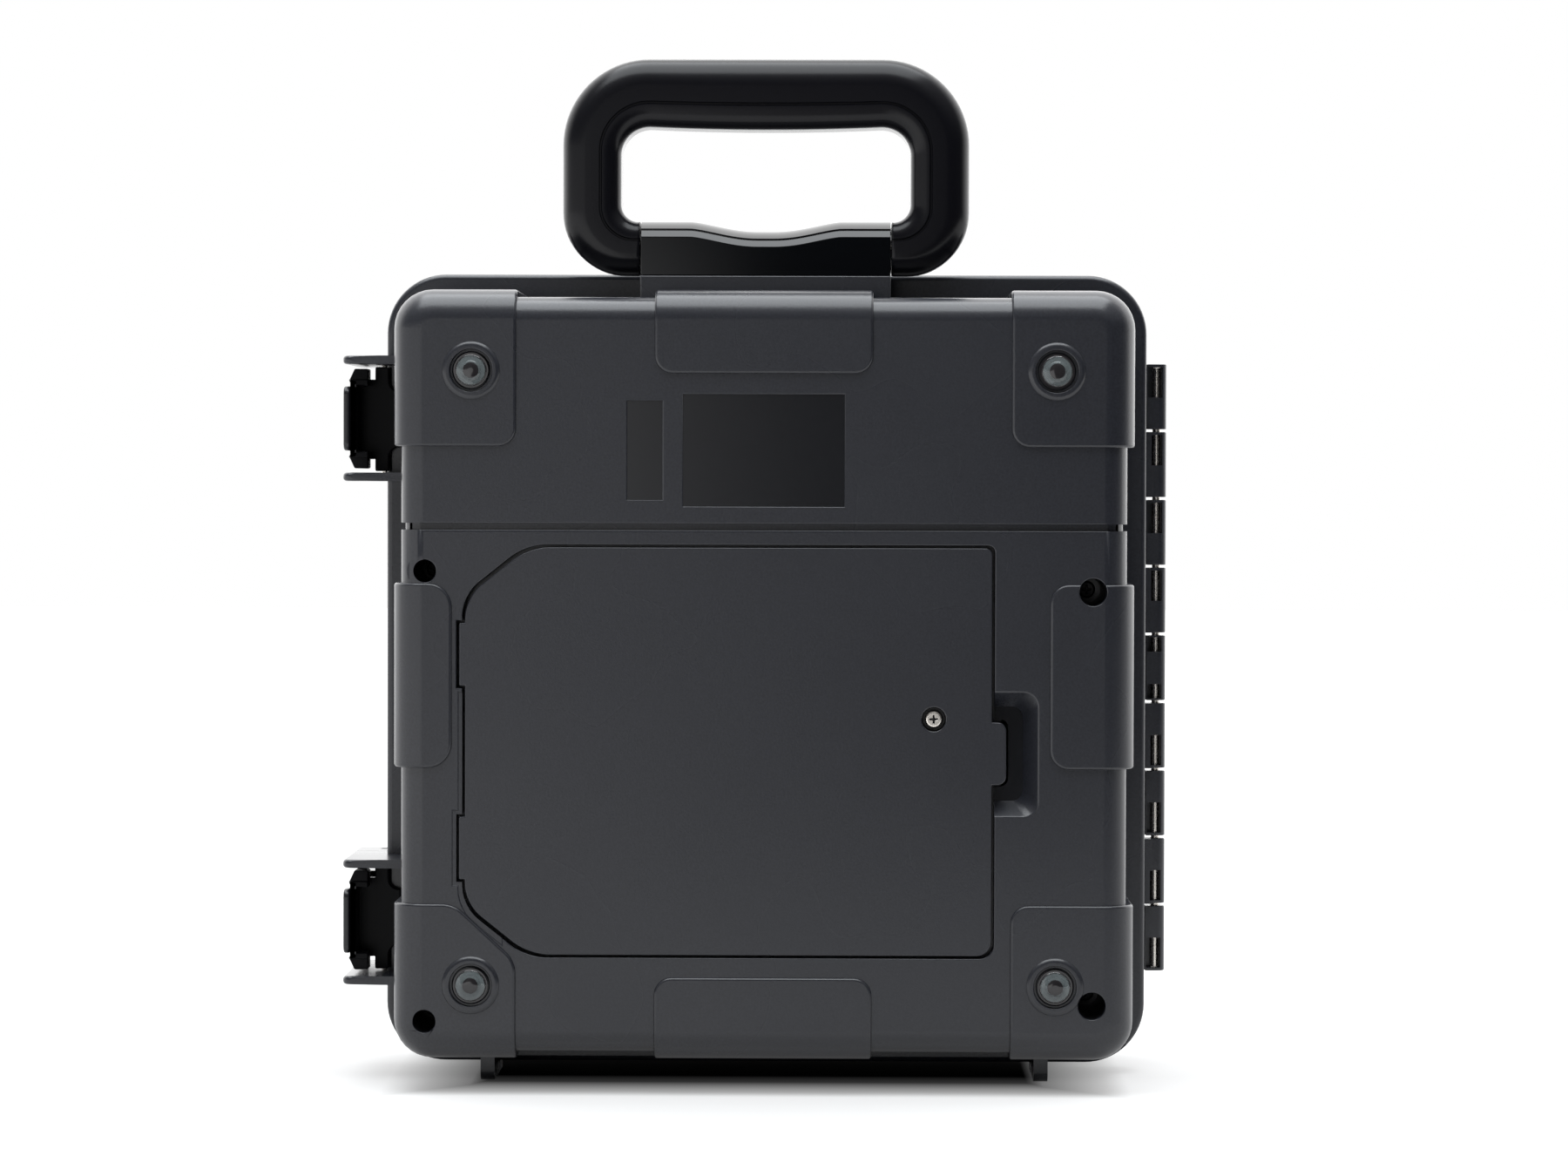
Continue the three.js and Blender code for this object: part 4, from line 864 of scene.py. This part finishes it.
def bracket():
    """The polished bracket between the handle's ends, with its dip for the fingers."""
    low, high = 252.3 + FLOOR, 268.6 + FLOOR
    front = add_block("handle_bracket_front", (-38.9, 38.9), (30, 50), (low, high - 2.3))
    lip = add_block("lip", (-38.9, 38.9), (32, 48), (low, high + 1))
    pick_edges(lip, runs_along(1))
    bpy.ops.mesh.subdivide(number_cuts=15)
    switch_to("OBJECT")
    round_edges(front, 2.1, lambda a, b: runs_along(0)(a, b) and a.z > low + 5, 1)
    for piece in (front, lip):
        pick_edges(piece, runs_along(0))
        bpy.ops.mesh.subdivide(number_cuts=48)
        switch_to("OBJECT")
        for vertex in piece.data.vertices:
            at = spot(vertex.co)
            if at.z > low + 5:
                share = max(0.0, min(1.0, (23.5 - abs(at.x)) / 21.0))
                dip = 3.1 * math.sin(share * math.pi / 2) ** 1.4
                deep = at.y
                if piece is lip:
                    dip += 2.7 * (abs(at.y - 40) / 8) ** 1.8
                elif at.z > high - 3:
                    deep = 40 + (at.y - 40) * 1.105
                vertex.co = place(at.x, deep, at.z - dip)
    whole = join_meshes(soften(front, 0.2), smooth(lip))
    for side in (-1, 1):
        ends = sorted((38.0 * side, 39.1 * side))
        whole = join_meshes(whole, add_rod("washer", (40, 260.6 + FLOOR), 7.2, *ends, "X"))
    return whole


def latch_lever(name, z):
    """A snap latch: a ribbed lever on its pin, with a claw bar for the rim and a finger plate."""
    claw, inside = (53.1, 56.7), (-128.75, -120)
    lever = add_block(name, (-130.95, -125.05), (41, 82.65), around(z, 15.65))
    for side in (-1, 1):
        slice_off(lever, (-129.4, 0, z + 15.65 * side), (-3.4, 0, 1.55 * side))
    cuts = [add_block("front_channel", inside, (38, claw[0]), around(z, 10.3)),
            add_block("rim_seat", inside, (50, 77.65), around(z, 17)),
            add_block("pin_room", inside, (77, 84), around(z, 17))]
    for side in (-1, 1):
        low, high = sorted((z + 10.3 * side, z + 11.3 * side))
        cuts.append(add_block("slot", (-132, -129.2), (38, 84), (low, high)))
        low, high = sorted((z + 12.3 * side, z + 17 * side))
        cuts.append(add_block("step", (-132, -120), (38, 41.9), (low, high)))
    cut(lever, *cuts)
    bar = add_block("claw_bar", (-123.95, -119.6), claw, around(z, 16.5))
    join(bar, add_block("tongue", (-122, -115.75), claw, around(z, 8.9)))
    for side in (-1, 1):
        round_edges(bar, 3.2, near_column(-119.6, z + 8.9 * side))
    ease(clean(bar), 0.5)
    plate = add_block("finger_plate", (-132.35, -130.35), (36.5, 45.5), around(z, 10.1))
    for corner_y in (36.5, 45.5):
        for side in (-1, 1):
            round_edges(plate, 2.6, runs_along(0, (corner_y, z + 10.1 * side)), 5)
    ease(clean(plate), 0.6, steps=3)
    ease(clean(lever), 0.4)
    join(lever, add_block("root", (-129.5, -123.3), (77.75, 82.55), around(z, 12.6)),
         add_rod("barrel", LATCH_PIN, 2.5, z - 12.7, z + 12.7, "Z"),
         add_block("neck", (-129.85, -123.4), claw, around(z, 12.5)),
         add_block("stalk", (-130.6, -128.9), (41.5, 45), around(z, 9)), bar, plate)
    cut(lever, add_rod("bore", LATCH_PIN, 1.6, z - 18, z + 18, "Z", 24))
    return smooth(clean(lever))


# The instrument

def panel():
    """The instrument panel, with a raised frame, a collar for the button and marks for the knob."""
    plate = copy_solid("front_panel", "front_panel_finished")
    sunk, through = 61.5, (60, 65)
    frame_ring = rounded_block("display_frame", (-62.5, 62.5), (sunk, 63.4), (24.3, 99.3), 5, back=0.9)
    cut(frame_ring, rounded_block("hole", (-58.9, 58.9), through, (27.9, 95.7), 2.5))
    collar = add_rod("collar", BUTTON, 15.2, sunk, 63.2, sides=64)
    ease(collar, 0.8, lambda a, b: min(a.y, b.y) > 63, 3)
    cut(collar, add_rod("hole", BUTTON, 12.3, *through, sides=64))
    tools = [frame_ring, collar]
    for turn in range(-120, 121, 24):
        mark = add_block("mark", (-0.4, 0.4), (sunk, 62.3), (KNOB[1] + 23.2, KNOB[1] + 26.8))
        edit_all(mark)
        bpy.ops.transform.rotate(value=math.radians(turn), orient_axis="Y",
                                 center_override=place(KNOB[0], 62, KNOB[1]))
        switch_to("OBJECT")
        tools.append(mark)
    return smooth(join_meshes(plate, *tools))


def knob():
    """The range knob: a fluted skirt and a grip bar with a pale pointer."""
    skirt = add_rod("selector_knob_finished", KNOB, 21, 62.3, 66.4, sides=96)
    ease(skirt, 1.0, lambda a, b: min(a.y, b.y) > 66, 3)
    flutes = None
    for turn in range(0, 360, 15):
        way = math.radians(turn + 7.5)
        at = (KNOB[0] + 22.2 * math.sin(way), KNOB[1] + 22.2 * math.cos(way))
        flute = add_rod("flute", at, 1.9, 61, 68, sides=20)
        flutes = flute if flutes is None else join_meshes(flutes, flute)
    cut(skirt, flutes)
    grip = rounded_block("grip", (-5, 5), (64, 72.3), (KNOB[1] - 20.6, KNOB[1] + 20.6), 4.4, back=1.5)
    join(skirt, grip)
    cut(skirt, add_rod("bore", KNOB, 3.2, 61, 68.7, sides=32))
    pointer = add_block("pointer", (-0.6, 0.6), (72, 72.5), (KNOB[1] + 4, KNOB[1] + 18.6))
    return smooth(clean(join(skirt, pointer)))


# The add-on

def tone(name, description, default):
    """A colour that can be set in the sidebar."""
    return bpy.props.FloatVectorProperty(name=name, description=description, subtype="COLOR", size=3,
                                         default=default, min=0, max=1)


class CaseLook(bpy.types.PropertyGroup):
    """Colours of the case's finishes."""

    shell: tone("Shell", "Charcoal plastic of both halves", (0.0215, 0.0228, 0.0288))
    handle: tone("Handle", "Soft black of the carrying handle", (0.0042, 0.0042, 0.006))
    gloss: tone("Bracket", "Polished black of the handle's bracket", (0.0015, 0.002, 0.003))
    latch: tone("Latches", "Black of the latches", (0.0035, 0.0035, 0.0045))
    metal: tone("Metal", "Nickel of the screws and pins", (0.76, 0.72, 0.67))
    cell: tone("Cells", "Plain wrap of the battery cells", (0.16, 0.19, 0.22))
    panel: tone("Panel", "Grey of the instrument panel", (0.2, 0.21, 0.215))


class CASE_OT_halves(bpy.types.Operator):
    """Models the two moulded halves of the case."""

    bl_idname = "case.halves"
    bl_label = "Case halves"

    def execute(self, context):
        base = finish(base_shell(), "base", "charcoal_shell", "base_shell")
        paint(base, "recess_gloss_and_painted_shade", lambda at, normal: abs(at.y - 1.4) < 0.02 and at.z > 45)
        # Painted shade: the finger pocket's floor is darkened where it lies deep in shadow
        paint(base, "recess_gloss_and_painted_shade", lambda at, normal: abs(at.y - 6.5) < 0.02 and 60 < at.x < 85
              and abs(at.z + 24) < 18)
        lid = finish(lid_shell(), "lid", "charcoal_shell", "lid_shell")
        for half in (base, lid):
            # Painted shade: the rims' bottom faces get the dull copy of the shell so that they stay dark
            paint(half, "shade_dulled_underside", lambda at, normal: at.z < -119 and 50 < at.y < 90
                  and (normal.z < 0.3 or at.z < -123))
        return {"FINISHED"}


class CASE_OT_hinge(bpy.types.Operator):
    """Models the knuckles of the long hinge and its pin."""

    bl_idname = "case.hinge"
    bl_label = "Hinge"

    def execute(self, context):
        finish(knuckles("hinge_knuckles_base", 1, (64.25, BASE_DEPTH), False), "base",
               "charcoal_shell", "base_shell")
        finish(knuckles("hinge_knuckles_lid", 0, (LID_FRONT, 75.75), True), "lid",
               "charcoal_shell", "lid_shell")
        pin = add_rod("hinge_rod", (HINGE_X, PARTING), 1.3, HINGE_LOW + 1.1, HINGE_LOW + 192.8, "Z", 32)
        finish(soften(pin, 0.2), "base", "steel", "hinge_pin")
        return {"FINISHED"}


class CASE_OT_door(bpy.types.Operator):
    """Models the battery door and its screw."""

    bl_idname = "case.door"
    bl_label = "Battery door"

    def execute(self, context):
        door = finish(battery_door(), "cover", "charcoal_shell", "battery_cover")
        # Painted shade: the door's sink round the screw is darkened
        paint(door, "painted_shade_steel", lambda at, normal: 1.3 < at.y < 4.4 and reach_from(DOOR_SCREW, at) < 3.72)
        piece = finish(screw("door_screw", *DOOR_SCREW, 4.0, 9), "cover", "steel", "battery_cover_screw")
        # Painted shade in the screw's cross recess
        paint(piece, "painted_shade_steel", lambda at, normal: 2.15 < at.y < 3.5 and reach_from(DOOR_SCREW, at) < 1.8)
        return {"FINISHED"}


class CASE_OT_small_parts(bpy.types.Operator):
    """Models the clear feet and the screws in the wells."""

    bl_idname = "case.small_parts"
    bl_label = "Feet and screws"

    def execute(self, context):
        for number, (x, z) in enumerate(FEET, 1):
            piece = foot(f"clear_foot_{number}", x, z)
            finish(piece, "base", "clear_foot", f"rubber_foot_{number}")
            # Painted shade in the middle and at the edge of each foot, and a painted highlight ring near
            # its edge
            paint(piece, "foot_painted_shade", lambda at, normal: not 2.3 < reach_from((x, z), at) < 4.36)
            paint(piece, "foot_painted_bright_ring", lambda at, normal: 4.3 < reach_from((x, z), at) < 4.62)
        for number, (x, z, _) in enumerate(WELLS, 1):
            piece = screw(f"well_screw_{number}", x, z, 41.7, 12)
            finish(piece, "base", "steel", f"case_screw_{number}")
            # Painted shade: the screws deep in the wells are darkened as they lie in shadow
            piece.data.materials[0] = material_of("painted_shade_steel")
        return {"FINISHED"}


class CASE_OT_handle(bpy.types.Operator):
    """Models the carrying handle and its bracket."""

    bl_idname = "case.handle"
    bl_label = "Handle"

    def execute(self, context):
        finish(handle(), "handle", "soft_handle", "handle_loop")
        finish(bracket(), "base", "gloss_black", "handle_bracket")
        return {"FINISHED"}


class CASE_OT_latches(bpy.types.Operator):
    """Models the two snap latches."""

    bl_idname = "case.latches"
    bl_label = "Latches"

    def execute(self, context):
        for end, z in LATCHES.items():
            piece = latch_lever(f"latch_{end}_lever", z)
            finish(piece, f"latch_{end}", "latch_black", f"latch_lever_{end}")
            # Painted light: the finger plate's outer face is lighter than the rest of the latch
            paint(piece, "latch_plate_painted_light", lambda at, normal: at.x < -130.3 and at.y < 45.6)
        return {"FINISHED"}


class CASE_OT_battery(bpy.types.Operator):
    """Models the battery holder with its cells and contact strips."""

    bl_idname = "case.battery"
    bl_label = "Battery holder"

    def execute(self, context):
        refine("battery_holder", "base", 0.45, lambda a, b: max(a.y, b.y) < 15.2)
        for number in range(1, 5):
            refine(f"battery_contact_{number}", "base", 0.12, steps=2)
        for number in range(1, 9):
            cell = refine(f"battery_cell_{number}", "base", 0.5)
            low, high = (spot(corner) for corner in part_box(f"battery_cell_{number}"))
            middle = (low + high) / 2
            paint(cell, "steel", lambda at, normal: abs(at.x - middle.x) > 24.3
                  or math.hypot(at.y - middle.y, at.z - middle.z) < 3.4)
        return {"FINISHED"}


class CASE_OT_instrument(bpy.types.Operator):
    """Models the panel with its display, knob, button, keys and terminals, and the seal."""

    bl_idname = "case.instrument"
    bl_label = "Instrument"

    def execute(self, context):
        plate = finish(panel(), "base", "panel_grey", "front_panel")
        paint(plate, "inner_black", lambda at, normal: at.y > 62.04)
        refine("display_window", "base", 0.4)
        refine("display_module", "base", 0.3)
        refine("lid_gasket", "base", 0.7)
        dial = finish(knob(), "knob", SLOTS["selector_knob"], "selector_knob")
        paint(dial, "pointer", lambda at, normal: at.y > 72.4)
        refine("test_button", "button", 0.7, lambda a, b: min(a.y, b.y) > 65)
        for number in range(1, 5):
            refine(f"panel_key_{number}", f"key_{number}", 0.8, lambda a, b: min(a.y, b.y) > 63.9)
        for number, centre in enumerate(TERMINALS, 1):
            socket = refine(f"terminal_{number}", "base", 0.8, lambda a, b: min(a.y, b.y) > 68.2)
            paint(socket, "steel", lambda at, normal: reach_from(centre, at) < 2.6 and at.y < 67.4)
        for node, piece in frame["nodes"].items():
            if piece.hide_render:
                continue
            piece.data.materials.clear()
            piece.data.materials.append(material_of(SLOTS[node]))
        return {"FINISHED"}


class CASE_OT_stage(bpy.types.Operator):
    """Sets up the floor, the softbox, the surroundings and the camera."""

    bl_idname = "case.stage"
    bl_label = "Stage"

    def execute(self, context):
        scene = context.scene
        scene.view_settings.view_transform = "Standard"
        floor()
        surroundings(scene)
        lamp("top_softbox", (-0.05, -0.2, 1.5), (0, 0, 0.12), 1.4, 32.0)
        camera(scene)
        return {"FINISHED"}


def plus(tree, first, second, operation="ADD"):
    """Adds two values, or puts them together another way."""
    sum_up = new_node(tree, "Math")
    sum_up.operation = operation
    for index, value in enumerate((first, second)):
        if isinstance(value, (int, float)):
            sum_up.inputs[index].default_value = value
        else:
            tree.links.new(value, sum_up.inputs[index])
    return sum_up.outputs["Value"]


def axes_of(tree, coordinates):
    """The X, Y and Z of one kind of coordinates."""
    parts = new_node(tree, "SeparateXYZ")
    tree.links.new(new_node(tree, "TexCoord").outputs[coordinates], parts.inputs["Vector"])
    return parts.outputs


def floor():
    """A white floor with a shadow painted dark under and close round the case, brightening to the
    background away from it.
    """
    take(None)
    bpy.ops.mesh.primitive_plane_add(size=6, location=(0, 2.4, -0.0003))
    ground = settle(bpy.context.object)
    ground.name = "floor"
    pale, fade = (0.35, 0.35, 0.35), 0.036
    material, tree, shader = new_finish("floor", pale, 0.6)
    set_inputs(shader, Specular_IOR_Level=0, Emission_Color=(1, 1, 1, 1))
    tree.links.new(ramp(tree, noise(tree, 3.0), 0.0, 1.0, 0.57, 0.63), shader.inputs["Roughness"])
    at = axes_of(tree, "Object")
    aside = plus(tree, at["X"], 0, "ABSOLUTE")
    beyond_fins = ramp(tree, aside, 0.0845, 0.0895, 0.0, 1.0)
    across = plus(tree, plus(tree, aside, 0.08, "SUBTRACT"), beyond_fins, "MULTIPLY")
    in_front = plus(tree, -0.024, at["Y"], "SUBTRACT")
    along = plus(tree, in_front, plus(tree, at["Y"], 0.07, "SUBTRACT"), "MAXIMUM")
    away = plus(tree, across, along, "MAXIMUM")
    # Painted shadow: the floor's colour is dark under the case and pale away from it
    outside_painted_shadow = ramp(tree, away, 0.0, fade, 0.0, 1.0)
    tint(tree, shader, outside_painted_shadow, (0.02, 0.02, 0.02), pale)
    # Painted shadow too: the glow that the camera and gloss see is left out near the case and rises away
    # from it
    near = ramp(tree, away, 0.0, fade, 0.0, 0.5)
    far = ramp(tree, away, 0.3, 1.6, 0.0, 0.5)
    path = new_node(tree, "LightPath")
    watched = plus(tree, path.outputs["Is Camera Ray"], path.outputs["Is Glossy Ray"])
    watched = plus(tree, watched, path.outputs["Is Transmission Ray"])
    # A faint glow under the front of the case, the dark end of the painted shadow
    early = ramp(tree, along, -0.016, 0.0, 0.0, 0.03)
    glow = plus(tree, plus(tree, near, far), early)
    tree.links.new(plus(tree, glow, watched, "MULTIPLY"), shader.inputs["Emission Strength"])
    ground.data.materials.append(material)


def surroundings(scene):
    """White for the camera and glass. For light and gloss, bright behind, above and low on the left."""
    world = bpy.data.worlds.new("surroundings")
    scene.world = world
    world.use_nodes = True
    tree = world.node_tree
    background = tree.nodes["Background"]
    set_inputs(background, Color=(1, 1, 1, 1))
    at = axes_of(tree, "Generated")
    behind = ramp(tree, at["Y"], -0.1, 0.4, 0.03, 2.2)
    left = ramp(tree, at["X"], -0.015, -0.08, 0.0, 1.65)
    low = ramp(tree, at["Z"], 0.07, 0.04, 0.1, 1.0)
    left = plus(tree, left, low, "MULTIPLY")
    above = ramp(tree, at["Z"], 0.2, 0.9, 0.0, 0.6)
    behind = plus(tree, behind, above)
    path = new_node(tree, "LightPath")
    watched = plus(tree, path.outputs["Is Camera Ray"], path.outputs["Is Transmission Ray"])
    unseen = plus(tree, 1, watched, "SUBTRACT")
    room = plus(tree, plus(tree, behind, left, "MAXIMUM"), unseen, "MULTIPLY")
    tree.links.new(plus(tree, room, watched), background.inputs["Strength"])


def lamp(name, at, towards, size, power):
    take(None)
    bpy.ops.object.light_add(type="AREA", location=at)
    light = bpy.context.object
    light.name = name
    light.data.shape = "SQUARE"
    light.data.size = size
    light.data.energy = power
    light.data.color = (0.93, 0.97, 1.0)
    light.rotation_euler = (Vector(towards) - Vector(at)).to_track_quat("-Z", "Y").to_euler()


def camera(scene):
    """The camera, as it was found from the case's edges in the photograph."""
    take(None)
    bpy.ops.object.camera_add(location=(0, 0, 0))
    viewer = bpy.context.object
    viewer.name = "camera"
    viewer.data.sensor_width = 36.0
    viewer.data.sensor_fit = "HORIZONTAL"
    viewer.data.lens = 108.97
    yaw, pitch, roll = -0.0108, 0.0228, 0.0025
    ahead = Vector((math.cos(pitch) * math.sin(yaw), math.cos(pitch) * math.cos(yaw), -math.sin(pitch)))
    right = Vector((math.cos(yaw), -math.sin(yaw), 0))
    up = right.cross(ahead)
    across = math.cos(roll) * right + math.sin(roll) * up
    above = math.cos(roll) * up - math.sin(roll) * right
    turn = Matrix((across, above, -ahead)).transposed().to_4x4()
    viewer.matrix_world = Matrix.Translation((0.02425, -1.50875, 0.18864)) @ turn
    scene.camera = viewer


class CASE_PT_pieces(bpy.types.Panel):
    """Lists the case's colours and the operators that model its pieces."""

    bl_idname = "CASE_PT_pieces"
    bl_label = "Test instrument case"
    bl_space_type = "VIEW_3D"
    bl_region_type = "UI"
    bl_category = "Case"

    def draw(self, context):
        for name in CaseLook.__annotations__:
            self.layout.prop(context.scene.case_look, name)
        for step in STEPS:
            self.layout.operator(step.bl_idname)


STEPS = (CASE_OT_halves, CASE_OT_hinge, CASE_OT_door, CASE_OT_battery, CASE_OT_small_parts,
         CASE_OT_handle, CASE_OT_latches, CASE_OT_instrument, CASE_OT_stage)
CLASSES = (CaseLook, *STEPS, CASE_PT_pieces)


def register():
    for each in CLASSES:
        bpy.utils.register_class(each)
    bpy.types.Scene.case_look = bpy.props.PointerProperty(type=CaseLook)


def unregister():
    del bpy.types.Scene.case_look
    for each in reversed(CLASSES):
        bpy.utils.unregister_class(each)


def main():
    register()
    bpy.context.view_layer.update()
    bpy.ops.case.halves()
    bpy.ops.case.hinge()
    bpy.ops.case.door()
    bpy.ops.case.battery()
    bpy.ops.case.small_parts()
    bpy.ops.case.handle()
    bpy.ops.case.latches()
    bpy.ops.case.instrument()
    bpy.ops.case.stage()


if __name__ == "__main__":
    main()
